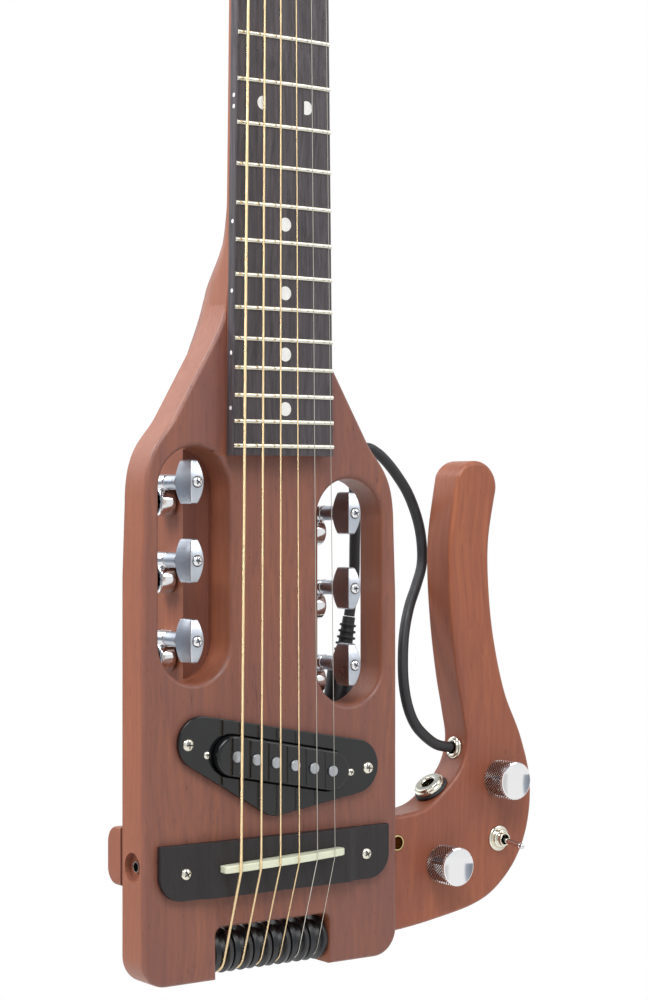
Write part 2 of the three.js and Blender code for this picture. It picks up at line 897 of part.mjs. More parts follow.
function crossRib() {
  const { backY, bottomZ, topZ, cornerRadius } = rib;
  const front = body.thickness + fit.glue;
  const outline = roundedRectangle(front - 2 * cornerRadius, backY, bottomZ, topZ, cornerRadius);
  const blank = slabX(outline, -body.halfWidth, -block.halfWidth - fit.glue);
  const outer = body.halfWidth + fit.overrun;
  const frontRoom = box(-outer, 0, -fit.overrun - cornerRadius, front, 0, scale.length);
  const mortise = box(
    -bar.bassEnd - fit.slide,
    0,
    bar.frontY - fit.slide,
    bar.backY + fit.slide,
    bar.lowZ - fit.slide,
    bar.highZ + fit.slide,
  );
  return cut(blank, frontRoom, mortise);
}

piece('rest_rib', crossRib(), stainedWood);

// Fretboard with its frets, truss rod, nut and string anchor

function boardSection(z, halfWidth, topLift, bottomY) {
  const count = steps.acrossBoard;
  const top = Array.from({ length: count + 1 }, (_, i) => {
    const x = halfWidth * (1 - (2 * i) / count);
    return vec(x, boardTop - topLift + crown(x), z);
  });
  return [...top, vec(-halfWidth, bottomY, z), vec(halfWidth, bottomY, z)];
}

function fret(n) {
  const z = fretZ(n);
  const halfWidth = boardHalf(z) - board.fretInset;
  const sunk = boardTop + board.fretHeight + crown(halfWidth);
  const foot = board.fretWidth / 2;
  return loft([
    boardSection(z - foot, halfWidth, board.fretHeight / 4, sunk),
    boardSection(z, halfWidth, board.fretHeight, sunk),
    boardSection(z + foot, halfWidth, board.fretHeight / 4, sunk),
  ]);
}

function fretboard() {
  const bottom = -neck.boardPlane - fit.glue;
  const blank = loft([
    boardSection(boardEndZ, boardHalf(boardEndZ), 0, bottom),
    boardSection(nutZ - fit.glue, boardHalf(nutZ), 0, bottom),
  ]);
  const frets = Array.from({ length: scale.fretCount }, (_, i) => fret(i + 1));
  return join(blank, ...frets);
}

piece('fretboard', fretboard(), boardWood);

function trussRod() {
  const half = neck.rodHalfWidth - fit.slide;
  const low = neck.rodLowZ + fit.slide;
  const high = nutZ - neck.rodNutGap - fit.slide;
  const shallow = fit.slide - neck.boardPlane;
  const nutLowZ = high - 2 * half;
  const nutY = shallow + half;
  const bars = box(-half, half, shallow, neck.rodDepth - fit.slide, low, nutLowZ);
  const hexNut = rod(vec(0, nutY, nutLowZ - fit.seat), vec(0, nutY, high), half, sides.hex);
  return join(bars, hexNut);
}

piece('truss_rod', trussRod(), steel);

// One string's line in the plane of Y and Z, from its ball end to its tuner's post

const stringY = {
  nut: (i) => nutTop + crown(nutStringX(i)) + nut.grooveDepth - strings.radii[i] - fit.seat,
  saddle: (i) => crown(stringX(i)) - saddle.height - strings.radii[i] - fit.seat,
  anchor: -neck.boardPlane - anchor.holeRise,
};

function arcPoints(x, centreY, centreZ, radius, start, end, count) {
  return Array.from({ length: count + 1 }, (_, k) => {
    const angle = start + ((end - start) * k) / count;
    return vec(x, centreY + radius * Math.cos(angle), centreZ + radius * Math.sin(angle));
  });
}

function stringLine(i) {
  const radius = strings.radii[i];
  const x = stringX(i);
  const nutX = nutStringX(i);
  const side = sideOf(i);
  const ballZ = anchorHighZ + strings.ballLength + strings.headGap;
  const saddlePoint = vec(x, stringY.saddle(i), saddleZAt(x));
  const wrap = roller.grooveRadius + radius + fit.seat;
  const coil = tuner.postRadius + radius + fit.seat;
  // Where the string meets the roller, seen along X
  const toSaddle = Math.hypot(saddlePoint.y - roller.axisY, saddlePoint.z - roller.axisZ);
  const saddleAngle = Math.atan2(saddlePoint.z - roller.axisZ, saddlePoint.y - roller.axisY);
  const onto = saddleAngle + Math.acos(wrap / toSaddle);
  // The line that leaves the roller at its back and meets the post at its front
  const dy = tuner.postY - roller.axisY;
  const dz = postZ(i) - roller.axisZ;
  const off = Math.atan2(dz, dy) - Math.acos((wrap + coil) / Math.hypot(dy, dz));
  const fullTurn = 2 * Math.PI;
  const offRoller = off < Math.PI ? off + fullTurn : off;
  const wrapped = arcPoints(x, roller.axisY, roller.axisZ, wrap, onto, offRoller, steps.rollerWrap);
  const start = off + Math.PI;
  const turns = strings.windingTurns;
  const end = start - fullTurn * turns;
  const coilPitch = 2 * radius + strings.windingGap;
  const coilX = strings.windingX[rankOf(i)];
  const wound = arcPoints(0, tuner.postY, postZ(i), coil, start, end, steps.windingTurn * turns);
  wound.forEach((point, k) => {
    point.x = side * (coilX - (coilPitch * k) / steps.windingTurn);
  });
  const points = [
    vec(nutX, stringY.anchor, ballZ),
    vec(nutX, stringY.anchor, anchorHighZ + strings.headGap + fit.seat),
    vec(nutX, stringY.anchor, anchorHighZ + strings.headGap),
    vec(nutX, stringY.anchor, anchorLowZ - strings.headGap),
    vec(nutX, stringY.nut(i), nutZ + nut.length),
    vec(nutX, stringY.nut(i), nutZ),
    saddlePoint.clone().add(vec(0, 0, saddle.width / 2)),
    saddlePoint.clone().sub(vec(0, 0, saddle.width / 4)),
    ...wrapped,
    ...wound,
  ];
  const radii = points.map((_, k) => (k < 2 ? strings.ballRadius : radius));
  return { points, radii, wound, radius };
}

const stringLines = strings.radii.map((_, i) => stringLine(i));

// The least gap between neighbouring turns of a winding, measured on its points
function windingGap({ wound, radius }) {
  let least = Infinity;
  for (let a = 0; a < wound.length; a += 1) {
    for (let b = a + steps.windingTurn / 2; b < wound.length; b += 1) {
      least = Math.min(least, wound[a].distanceTo(wound[b]) - 2 * radius);
    }
  }
  return least;
}

stringLines.forEach((line, i) => {
  const metal = i < stringCount - 2 ? bronze : steel;
  piece(`string_${i + 1}`, tubeAlong(line.points, line.radii, sides.string), metal);
  console.log(`string_${i + 1} least gap between turns ${windingGap(line).toFixed(2)} mm`);
});

function nutSolid() {
  const halfWidth = boardHalf(nutZ) - nut.endInset;
  const bottom = -neck.boardPlane - fit.glue;
  const blank = loft([
    boardSection(nutZ, halfWidth, nut.rise, bottom),
    boardSection(nutZ + nut.length, halfWidth, nut.rise - nut.grooveDepth, bottom),
  ]);
  const grooves = stringLines.map(({ radius }, i) => {
    const start = vec(nutStringX(i), stringY.nut(i), nutZ - fit.overrun);
    const end = vec(nutStringX(i), stringY.nut(i), nutZ + nut.length + fit.overrun);
    return bore(start, end, radius + fit.seat, sides.ring);
  });
  return cut(blank, ...grooves);
}

piece('nut', nutSolid(), bone);

function anchorSolid() {
  const top = -neck.boardPlane - anchor.height;
  const outline = roundedRectangle(-anchor.halfWidth, anchor.halfWidth, top, anchor.height, -top / 4);
  const footY = -neck.boardPlane - fit.glue;
  const foot = box(-body.halfWidth, body.halfWidth, footY, body.thickness, 0, headEndZ);
  const holes = strings.radii.map((_, i) => {
    const start = vec(nutStringX(i), stringY.anchor, anchorLowZ - fit.overrun);
    const end = vec(nutStringX(i), stringY.anchor, anchorHighZ + fit.overrun);
    return bore(start, end, anchor.holeRadius, sides.hex);
  });
  return cut(slabZ(outline, anchorLowZ, anchorHighZ), foot, ...holes);
}

piece('string_anchor', anchorSolid(), steel);

// Bridge and saddle

function saddleBlank(clearance, bottomY) {
  const half = saddle.length / 2 + clearance;
  const slices = steps.acrossBoard;
  const outline = new THREE.Shape();
  outline.moveTo(-half, bottomY);
  outline.lineTo(half, bottomY);
  outline.lineTo(half, -saddle.endHeight - clearance);
  for (let i = 0; i <= slices; i += 1) {
    const x = (half - saddle.width) * (1 - (2 * i) / slices);
    outline.lineTo(x, crown(x) - saddle.height - clearance);
  }
  outline.lineTo(-half, -saddle.endHeight - clearance);
  const width = saddle.width + 2 * clearance;
  const geometry = slabZ(outline, -width / 2, width / 2);
  return geometry.rotateY(-Math.atan(saddleSlope)).translate(0, 0, saddleMidZ);
}

function bridgeSolid() {
  const { halfWidth, lowZ, highZ, cornerRadius, endHeight, height } = bridge;
  const face = new THREE.Shape();
  face.moveTo(-halfWidth, highZ);
  face.lineTo(-halfWidth, lowZ + cornerRadius);
  face.absarc(cornerRadius - halfWidth, lowZ + cornerRadius, cornerRadius, Math.PI, (3 * Math.PI) / 2, false);
  face.absarc(halfWidth - cornerRadius, lowZ + cornerRadius, cornerRadius, -Math.PI / 2, 0, false);
  face.lineTo(halfWidth, highZ);
  const section = new THREE.Shape();
  section.moveTo(-halfWidth, -fit.glue);
  section.lineTo(halfWidth, -fit.glue);
  section.lineTo(halfWidth, -endHeight);
  section.lineTo(bridge.raisedHalfWidth + bridge.bevelRun, -endHeight);
  section.lineTo(bridge.raisedHalfWidth, -height);
  section.lineTo(-bridge.raisedHalfWidth, -height);
  section.lineTo(-bridge.raisedHalfWidth - bridge.bevelRun, -endHeight);
  section.lineTo(-halfWidth, -endHeight);
  const blank = keep(slabY(face, -height - fit.overrun, fit.overrun), slabZ(section, 0, highZ + fit.overrun));
  return cut(blank, saddleBlank(fit.glue, saddle.depth - height));
}

piece('bridge', bridgeSolid(), bridgeWood);
piece('saddle', saddleBlank(0, saddle.depth - bridge.height - fit.glue), bone);

// Pickup and its plate

function pickupPlate() {
  const circle = (x, z, r) => ({ x, y: z, r });
  const outline = beltOutline([
    circle(pickup.bassX, pickup.bassZ, pickup.bassRadius),
    circle(pickup.apexX, pickup.apexZ, pickup.apexRadius),
    circle(pickup.trebleX, pickup.trebleZ, pickup.trebleRadius),
  ]);
  outline.holes.push(pickupOutline(pickup.clearance));
  return slabY(outline, -pickup.plateThickness - fit.glue, -fit.glue);
}

function pickupSolid() {
  const top = -pickup.plateThickness - pickup.rise;
  const cover = slabY(pickupOutline(0), top, pickup.bodyDepth, pickup.poleRise, steps.fewCurve);
  const poles = stringLines.map((_, i) => {
    const reach = (i - (stringCount - 1) / 2) * pickup.polePitch;
    const x = pickup.centreX + reach * Math.cos(pickupSlope);
    const z = pickup.centreZ + reach * Math.sin(pickupSlope);
    const start = vec(x, top - pickup.poleRise, z);
    return rod(start, vec(x, top + pickup.poleRise, z), pickup.poleRadius, sides.ring);
  });
  return join(cover, ...poles);
}

piece('pickup_plate', pickupPlate(), glossBlack);
piece('pickup', pickupSolid(), glossBlack);

// Rollers on their axle

function axleSolid() {
  const reach = notch.halfWidth + roller.axleSeat;
  return rod(vec(-reach, roller.axisY, roller.axisZ), vec(reach, roller.axisY, roller.axisZ), roller.axleRadius);
}

piece('roller_axle', axleSolid(), steel);

function rollerSolid() {
  const half = roller.width / 2;
  const { rimRadius, grooveRadius, chamfer, rimWidth, grooveHalfWidth } = roller;
  const boreRadius = (roller.axleRadius + fit.running) / Math.cos(Math.PI / sides.roller);
  const profile = [
    [boreRadius, -half],
    [rimRadius - chamfer, -half],
    [rimRadius, rimWidth - half],
    [grooveRadius, -grooveHalfWidth],
    [grooveRadius, grooveHalfWidth],
    [rimRadius, half - rimWidth],
    [rimRadius - chamfer, half],
    [boreRadius, half],
    [boreRadius, -half],
  ];
  return solidOf(turned(profile, vec(0, 0, 0), xAxis, sides.roller));
}

const rollerShape = rollerSolid();
stringLines.forEach((_, i) => {
  piece(`roller_${i + 1}`, rollerShape, blackPlastic).position.set(stringX(i), roller.axisY, roller.axisZ);
});

// Tuners: housing on the block's side, button with its worm, post with its wheel.
// Local origin: on the post's axis, in the side face of the block. Out is away from the centre.

const wormOut = tuner.wormX - block.halfWidth;

function tunerHousing(side) {
  const { centreDistance, barrelHalfHeight, barrelCorner, barrelFront, barrelBack } = tuner;
  const high = centreDistance + barrelHalfHeight - barrelCorner;
  const outline = beltOutline([
    { x: 0, y: 0, r: tuner.gearCaseRadius },
    { x: barrelBack - barrelCorner, y: high, r: barrelCorner },
    { x: barrelCorner - barrelFront, y: high, r: barrelCorner },
  ]);
  const [lowX, highX] = side > 0 ? [fit.glue, tuner.housingDepth] : [-tuner.housingDepth, -fit.glue];
  const blank = slabX(outline, lowX, highX, tuner.housingBevel, steps.fewCurve);
  const x = side * wormOut;
  const pocketEnd = side * (tuner.housingDepth - tuner.wall);
  const pocket = bore(vec(-side * fit.overrun, 0, 0), vec(pocketEnd, 0, 0), tuner.pocketRadius, sides.small);
  const wormBore = bore(
    vec(x, -barrelFront - fit.overrun, centreDistance),
    vec(x, tuner.shaftEnd + fit.running, centreDistance),
    tuner.boreRadius,
    sides.ring,
  );
  return cut(blank, pocket, wormBore);
}

function lensOutline(x, z) {
  const { buttonHeight, buttonWidth, buttonEndWidth } = tuner;
  const outline = new THREE.Shape();
  const half = buttonHeight / 2;
  const end = buttonEndWidth / 2;
  // A quadratic curve reaches half of its pull
  const pull = buttonWidth - end;
  outline.moveTo(x - end, z - half);
  outline.lineTo(x + end, z - half);
  outline.quadraticCurveTo(x + pull, z, x + end, z + half);
  outline.lineTo(x - end, z + half);
  outline.quadraticCurveTo(x - pull, z, x - end, z - half);
  return outline;
}

// The button seen from the side, bowed at its front and its back
function bowedOutline(front, back, z) {
  const { buttonHeight, buttonFrontBow, buttonBackBow } = tuner;
  const outline = new THREE.Shape();
  const half = buttonHeight / 2;
  outline.moveTo(front + buttonFrontBow, z - half);
  outline.lineTo(back - buttonBackBow, z - half);
  outline.quadraticCurveTo(back + buttonBackBow, z, back - buttonBackBow, z + half);
  outline.lineTo(front + buttonFrontBow, z + half);
  outline.quadraticCurveTo(front - buttonFrontBow, z, front + buttonFrontBow, z - half);
  return outline;
}

// The worm's thread: the radius swings once for each turn along the pitch
function wormThread(x, z) {
  const { wormRadius, wormRootRadius, wormPitch, wormLength } = tuner;
  const middle = (wormRadius + wormRootRadius) / 2;
  const swing = (wormRadius - wormRootRadius) / 2;
  const rows = Math.round((wormLength / wormPitch) * steps.threadTurn);
  const rings = Array.from({ length: rows + 1 }, (_, row) => {
    const y = (row / rows - 1 / 2) * wormLength;
    return Array.from({ length: sides.worm }, (_, k) => {
      const angle = (2 * Math.PI * k) / sides.worm;
      const radius = middle + swing * Math.cos(angle - (2 * Math.PI * y) / wormPitch);
      return vec(x + radius * Math.cos(angle), y, z + radius * Math.sin(angle));
    });
  });
  return loft(rings);
}

function tunerButton(side) {
  const x = side * wormOut;
  const z = tuner.centreDistance;
  const front = tuner.buttonFrontY - tuner.postY;
  const back = tuner.buttonBackY - tuner.postY;
  const reach = tuner.buttonWidth;
  const lens = keep(
    slabY(lensOutline(x, z), front, back, 0, steps.fewCurve),
    slabX(bowedOutline(front, back, z), x - reach, x + reach, 0, steps.fewCurve),
  );
  const collarEnd = -tuner.barrelFront - fit.running;
  const { bossRadius, bossLength, bossSink, collarRadius, shaftRadius, shaftEnd } = tuner;
  const start = back - bossSink;
  const profile = [
    [0, 0],
    [reach / 2, 0],
    [bossRadius, bossSink],
    [collarRadius, bossSink + bossLength],
    [collarRadius, collarEnd - start],
    [shaftRadius, collarEnd - start],
    [shaftRadius, shaftEnd - start],
    [0, shaftEnd - start],
  ];
  const shaft = turned(profile, vec(x, start, z), yAxis, sides.ring);
  return join(lens, shaft, wormThread(x, z));
}

function wheelOutline() {
  const outline = new THREE.Shape();
  const count = 2 * tuner.teeth;
  for (let k = 0; k < count; k += 1) {
    const radius = tuner.wheelRadius - (k % 2 ? tuner.toothDepth : 0);
    const angle = (2 * Math.PI * k) / count;
    outline[k ? 'lineTo' : 'moveTo'](radius * Math.cos(angle), radius * Math.sin(angle));
  }
  return outline;
}

function tunerPost(side) {
  const low = wormOut - tuner.wheelWidth / 2;
  const high = wormOut + tuner.wheelWidth / 2;
  const [lowX, highX] = side > 0 ? [low, high] : [-high, -low];
  const wheel = slabX(wheelOutline(), lowX, highX);
  const tip = tuner.postTipX - block.halfWidth;
  return join(wheel, rod(vec(side * tip, 0, 0), vec(side * high, 0, 0), tuner.postRadius, sides.small));
}

[-1, 1].forEach((side) => {
  const shapes = [tunerHousing(side), tunerButton(side), tunerPost(side)];
  stringLines.forEach((_, i) => {
    if (sideOf(i) !== side) return;
    const group = new THREE.Group();
    group.position.set(side * block.halfWidth, tuner.postY, postZ(i));
    guitar.add(group);
    piece(`tuner_housing_${i + 1}`, shapes[0], chrome, group);
    piece(`tuner_button_${i + 1}`, shapes[1], chrome, group);
    piece(`string_post_${i + 1}`, shapes[2], steel, group);
  });
});

// Jacks of the body

function jackSolid(radius, boreRadius, depth, nutRadius, nutHeight, start, direction) {
  const profile = [
    [0, -depth],
    [radius, -depth],
    [radius, fit.glue],
    [nutRadius, fit.glue],
    [nutRadius, nutHeight],
    [boreRadius, nutHeight],
    [boreRadius, radius - depth],
    [0, radius - depth],
  ];
  return turned(profile, start, direction);
}

const leadJackStart = vec(lead.jackX, lead.jackY, cheek.topZ);
piece(
  'lead_jack',
  jackSolid(
    lead.jackBarrelRadius,
    lead.jackBoreRadius,
    lead.jackDepth,
    lead.jackNutRadius,
    lead.jackNutHeight,
    leadJackStart,
    leadTilt,
  ),
  chrome,
);

function sideSocket() {
  const { length, boreRadius, radius } = socket;
  const profile = [
    [radius, 0],
    [radius, length + radius / 2],
    [boreRadius, length + radius / 2],
    [boreRadius, 0],
    [radius, 0],
  ];
  const start = vec(socket.recessDepth - body.halfWidth - radius / 2, socket.y, socket.z);
  return turned(profile, start, xAxis, sides.small);
}

piece('side_socket', sideSocket(), steel);

// Lap rest: an arm and a cross bar in one plate, with a cavity for the controls behind

const restPoint = ([across, up]) => new THREE.Vector2(rest.innerX + across * rest.reach, rest.lowZ + up * rest.height);

function restOutline() {
  const outline = new THREE.Shape();
  const outer = restOuterShares.map(restPoint);
  const inner = restInnerShares.map(restPoint);
  const inside = block.halfWidth - fit.overrun;
  const tipStart = radians(rest.tipStart);
  const tipEnd = radians(rest.tipEnd);
  const tip = restPoint(restTipShare);
  const arcStart = new THREE.Vector2(Math.cos(tipStart), Math.sin(tipStart)).multiplyScalar(rest.tipRadius).add(tip);
  outline.moveTo(inside, rest.lowZ);
  outline.lineTo(rest.innerX, rest.lowZ);
  outline.splineThru([...outer.reverse(), arcStart]);
  const tipTop = (tipStart + tipEnd) / 2;
  outline.absarc(tip.x, tip.y, rest.tipRadius, tipStart, tipTop, false);
  outline.absarc(tip.x, tip.y, rest.tipRadius, tipTop, tipEnd, false);
  outline.splineThru(inner.reverse());
  outline.lineTo(rest.innerX, rest.barTopZ);
  outline.lineTo(inside, rest.barTopZ);
  return outline;
}

function cavityOutline(margin) {
  const radius = knob.potRadius + rest.coverLip + margin;
  return beltOutline([
    { x: knob.toneX, y: knob.toneZ, r: radius },
    { x: toggle.x - toggle.bodyHalfX, y: toggle.z - toggle.bodyHalfX, r: radius },
    { x: knob.volumeX, y: knob.volumeZ, r: radius - rest.coverLip / 2 },
    { x: outlet.x + outlet.length / 2, y: outlet.z - outlet.length / 2, r: outlet.nutRadius + margin },
  ]);
}

const aimOf = (degrees) => vec(Math.cos(radians(degrees)), 0, Math.sin(radians(degrees)));
const outletAim = aimOf(outlet.aim);
const eyeletAim = aimOf(eyelet.aim);
const restMiddleY = rest.frontY + rest.thickness / 2;
const onEdge = (place) => vec(place.x, restMiddleY, place.z);

function frontHole(x, z, radius) {
  return bore(vec(x, rest.frontY - fit.overrun, z), vec(x, restMiddleY, z), radius, sides.turned);
}

// A flat seat for a washer on the curved edge
function spotFace(place, aim, radius) {
  const end = onEdge(place).addScaledVector(aim, fit.overrun);
  return bore(onEdge(place), end, radius + fit.seat, sides.turned);
}

function lapRest() {
  const blank = slabY(restOutline(), rest.frontY, restBackY, rest.roundover, steps.spline);
  const pastBlock = box(0, block.halfWidth + rest.wingGap, 0, block.depth, 0, scale.length);
  const rabbet = box(
    0,
    body.halfWidth + rest.wingGap,
    0,
    body.thickness + rest.wingGap,
    -fit.overrun,
    scale.length,
  );
  const barPocket = box(
    0,
    bar.restEnd + fit.seat,
    bar.frontY - fit.seat,
    bar.backY + fit.seat,
    bar.lowZ - fit.seat,
    bar.highZ + fit.seat,
  );
  const cavity = slabY(cavityOutline(0), rest.frontY + rest.cavityWall, restBackY + fit.overrun);
  const coverSeat = slabY(
    cavityOutline(rest.coverLip / 2),
    restBackY - rest.coverThickness - fit.seat,
    restBackY + fit.overrun,
  );
  const outletBore = bore(
    onEdge(outlet).addScaledVector(outletAim, fit.overrun),
    onEdge(outlet).addScaledVector(outletAim, -outlet.length - fit.overrun),
    outlet.nutRadius - fit.seat,
    sides.turned,
  );
  const eyeletBore = bore(
    onEdge(eyelet).addScaledVector(eyeletAim, fit.overrun),
    onEdge(eyelet).addScaledVector(eyeletAim, -eyelet.depth - fit.overrun),
    eyelet.boreRadius + eyelet.wall + fit.seat,
  );
  const insertBore = bore(
    vec(insert.x, rest.frontY - fit.overrun, insert.z),
    vec(insert.x, rest.frontY + insert.depth + fit.seat, insert.z),
    insert.radius + fit.seat,
    sides.small,
  );
  return cut(
    blank,
    pastBlock,
    rabbet,
    barPocket,
    cavity,
    coverSeat,
    outletBore,
    eyeletBore,
    spotFace(outlet, outletAim, outlet.washerRadius),
    spotFace(eyelet, eyeletAim, eyelet.rimRadius),
    insertBore,
    frontHole(knob.volumeX, knob.volumeZ, knob.bushRadius + fit.seat),
    frontHole(knob.toneX, knob.toneZ, knob.bushRadius + fit.seat),
    frontHole(toggle.x, toggle.z, toggle.bushRadius + fit.seat),
  );
}

piece('lap_rest', lapRest(), stainedWood, restGroup);

piece(
  'slide_bar',
  box(-bar.bassEnd, bar.restEnd, bar.frontY, bar.backY, bar.lowZ, bar.highZ),
  steel,
  restGroup,
);

piece(
  'cavity_cover',
  slabY(cavityOutline(rest.coverLip / 2 - fit.running), restBackY - rest.coverThickness, restBackY),
  blackPlastic,
  restGroup,
);

function potSolid() {
  const inner = rest.cavityWall + fit.seat;
  const profile = [
    [0, -knob.shaftLength],
    [knob.shaftRadius, -knob.shaftLength],
    [knob.shaftRadius, fit.running],
    [knob.bushRadius, fit.running],
    [knob.bushRadius, inner],
    [knob.potRadius, inner],
    [knob.potRadius, inner + knob.potHeight],
    [0, inner + knob.potHeight],
  ];
  return solidOf(turned(profile, vec(0, 0, 0), yAxis));
}

function knobSolid() {
  const outline = new THREE.Shape();
  const count = 2 * knob.flutes;
  for (let k = 0; k < count; k += 1) {
    const radius = knob.radius - (k % 2 ? knob.fluteDepth : 0);
    const angle = (2 * Math.PI * k) / count;
    outline[k ? 'lineTo' : 'moveTo'](radius * Math.cos(angle), radius * Math.sin(angle));
  }
  const grip = slabY(outline, -knob.height + knob.bevel, -fit.running);
  const cap = turned(
    [
      [0, 0],
      [knob.radius - knob.fluteDepth - knob.bevel, 0],
      [knob.radius - knob.fluteDepth, knob.bevel],
      [knob.radius - knob.fluteDepth, 2 * knob.bevel],
      [0, 2 * knob.bevel],
    ],
    vec(0, -knob.height, 0),
    yAxis,
    sides.fine,
  );
  const shaftBore = bore(
    vec(0, fit.overrun, 0),
    vec(0, -knob.shaftLength - fit.running, 0),
    knob.shaftRadius + fit.running,
    sides.turned,
  );
  return cut(join(grip, cap), shaftBore);
}

[
  ['volume', knob.volumeX, knob.volumeZ],
  ['tone', knob.toneX, knob.toneZ],
].forEach(([name, x, z]) => {
  const group = new THREE.Group();
  group.position.set(x, rest.frontY, z);
  restGroup.add(group);
  piece(`${name}_pot`, potSolid(), steel, group);
  piece(`${name}_knob`, knobSolid(), chrome, group);
});

// Toggle switch: local origin on its axis, in the front face of the lap rest

const switchGroup = new THREE.Group();
switchGroup.position.set(toggle.x, rest.frontY, toggle.z);
restGroup.add(switchGroup);

function switchBody() {
  const inner = rest.cavityWall + fit.seat;
  const { bodyHalfX, bodyHalfZ, washerHeight, nutHeight, bushHeight, nutRadius } = toggle;
  const can = box(-bodyHalfX, bodyHalfX, inner, inner + toggle.bodyDepth, -bodyHalfZ, bodyHalfZ);
  const bush = rod(vec(0, -bushHeight, 0), vec(0, inner + fit.seat, 0), toggle.bushRadius, sides.turned);
  const washer = rod(vec(0, -washerHeight, 0), vec(0, -fit.glue, 0), toggle.washerRadius, sides.turned);
  const hexNut = rod(vec(0, -washerHeight - nutHeight, 0), vec(0, -fit.glue, 0), nutRadius, sides.hex);
  const leverBore = bore(vec(0, -fit.overrun, 0), vec(0, inner, 0), toggle.boreRadius);
  return cut(join(can, bush, washer, hexNut), leverBore);
}

function switchLever() {
  const { leverLength, leverRadius, leverTipRadius, pivotRise } = toggle;
  const ball = 2 * leverRadius - fit.running;
  const ballMiddle = (3 * leverRadius) / 2;
  const profile = [
    [0, 0],
    [ball, leverRadius],
    [ball, 2 * leverRadius],
    [leverRadius, 3 * leverRadius],
    [leverTipRadius, leverLength - leverTipRadius],
    [leverRadius, leverLength - leverRadius / 2],
    [0, leverLength],
  ];
  const low = radians(toggle.restAngle);
  const aim = vec(0, -Math.cos(low), -Math.sin(low));
  const pivot = vec(0, -pivotRise, 0);
  return turned(profile, pivot.addScaledVector(aim, -ballMiddle), aim, sides.small);
}

piece('switch_body', switchBody(), chrome, switchGroup);
piece('switch_lever', switchLever(), chrome, switchGroup);

piece(
  'output_jack',
  jackSolid(
    outlet.nutRadius - fit.running,
    outlet.boreRadius,
    outlet.length,
    outlet.washerRadius,
    outlet.rise,
    onEdge(outlet),
    outletAim,
  ),
  chrome,
  restGroup,
);

function eyeletSolid() {
  const sleeve = eyelet.boreRadius + eyelet.wall;
  const profile = [
    [eyelet.boreRadius, -eyelet.depth],
    [sleeve, -eyelet.depth],
    [sleeve, fit.glue],
    [eyelet.rimRadius, fit.glue],
    [eyelet.rimRadius, eyelet.rise / 2],
    [sleeve, eyelet.rise],
    [eyelet.boreRadius, eyelet.rise],
    [eyelet.boreRadius, -eyelet.depth],
  ];
  return turned(profile, onEdge(eyelet), eyeletAim);
}

piece('cable_eyelet', eyeletSolid(), chrome, restGroup);

function insertSolid() {
  const { radius, boreRadius, depth, rise } = insert;
  const profile = [
    [boreRadius, -rise],
    [radius, -rise],
    [radius, depth],
    [boreRadius, depth],
    [boreRadius, -rise],
  ];
  return turned(profile, vec(insert.x, rest.frontY, insert.z), yAxis, sides.small);
}

piece('threaded_insert', insertSolid(), brass, restGroup);

// The lead: plug in the body's jack, ribbed strain relief, cable

function leadPlug() {
  const start = leadJackStart.clone().addScaledVector(leadTilt, lead.jackNutHeight + fit.running);
  const { plugRadius, plugLength, tipRadius, tipLength } = lead;
  const profile = [
    [0, -tipLength],
    [tipRadius / 2, -tipLength],
    [tipRadius, tipRadius - tipLength],
    [tipRadius, 0],
    [plugRadius, 0],
    [plugRadius, plugLength - tipRadius],
    [plugRadius - tipRadius / 2, plugLength],
    [0, plugLength],
  ];
  return turned(profile, start, leadTilt);
}

function strainRelief() {
  const start = leadJackStart
    .clone()
    .addScaledVector(leadTilt, lead.jackNutHeight + lead.plugLength + 2 * fit.running);
  const profile = [[0, 0]];
  for (let k = 0; k < lead.ribs; k += 1) {
    const share = k / (lead.ribs - 1);
    const core = THREE.MathUtils.lerp(lead.reliefRadius, lead.reliefNeckRadius, share);
    const edge = THREE.MathUtils.lerp(lead.ribRadius, lead.ribTopRadius, share);
    const low = k * lead.ribPitch;
    profile.push([core, low], [core, low + lead.ribPitch - lead.ribWidth]);
    profile.push([edge, low + lead.ribPitch - lead.ribWidth], [edge, low + lead.ribPitch]);
  }
  profile.push([lead.reliefNeckRadius, lead.ribs * lead.ribPitch]);
  profile.push([lead.reliefNeckRadius, lead.reliefLength], [0, lead.reliefLength]);
  return turned(profile, start, leadTilt, sides.ring);
}

function leadCable() {
  const section = new THREE.Shape();
  for (let k = 0; k < sides.cable; k += 1) {
    const angle = (2 * Math.PI * k) / sides.cable;
    section[k ? 'lineTo' : 'moveTo'](lead.cableRadius * Math.cos(angle), lead.cableRadius * Math.sin(angle));
  }
  const route = new THREE.CatmullRomCurve3(leadRoute.map((point) => vec(...point)));
  console.log(`lead cable length ${route.getLength().toFixed(1)} mm`);
  return new THREE.ExtrudeGeometry(section, { steps: steps.cable, extrudePath: route });
}

piece('lead_plug', leadPlug(), blackRubber);
piece('strain_relief', strainRelief(), blackRubber);
piece('lead_cable', leadCable(), blackRubber);

export default guitar;
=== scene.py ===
import logging
import math
from collections.abc import Iterable, Sequence
from dataclasses import dataclass
from enum import Enum

import bmesh
import bpy
import numpy as np
from bpy.types import Material, Mesh, Node, NodeSocket, NodeTree, Object
from mathutils import Matrix, Quaternion, Vector
from mathutils.geometry import interpolate_bezier, tessellate_polygon


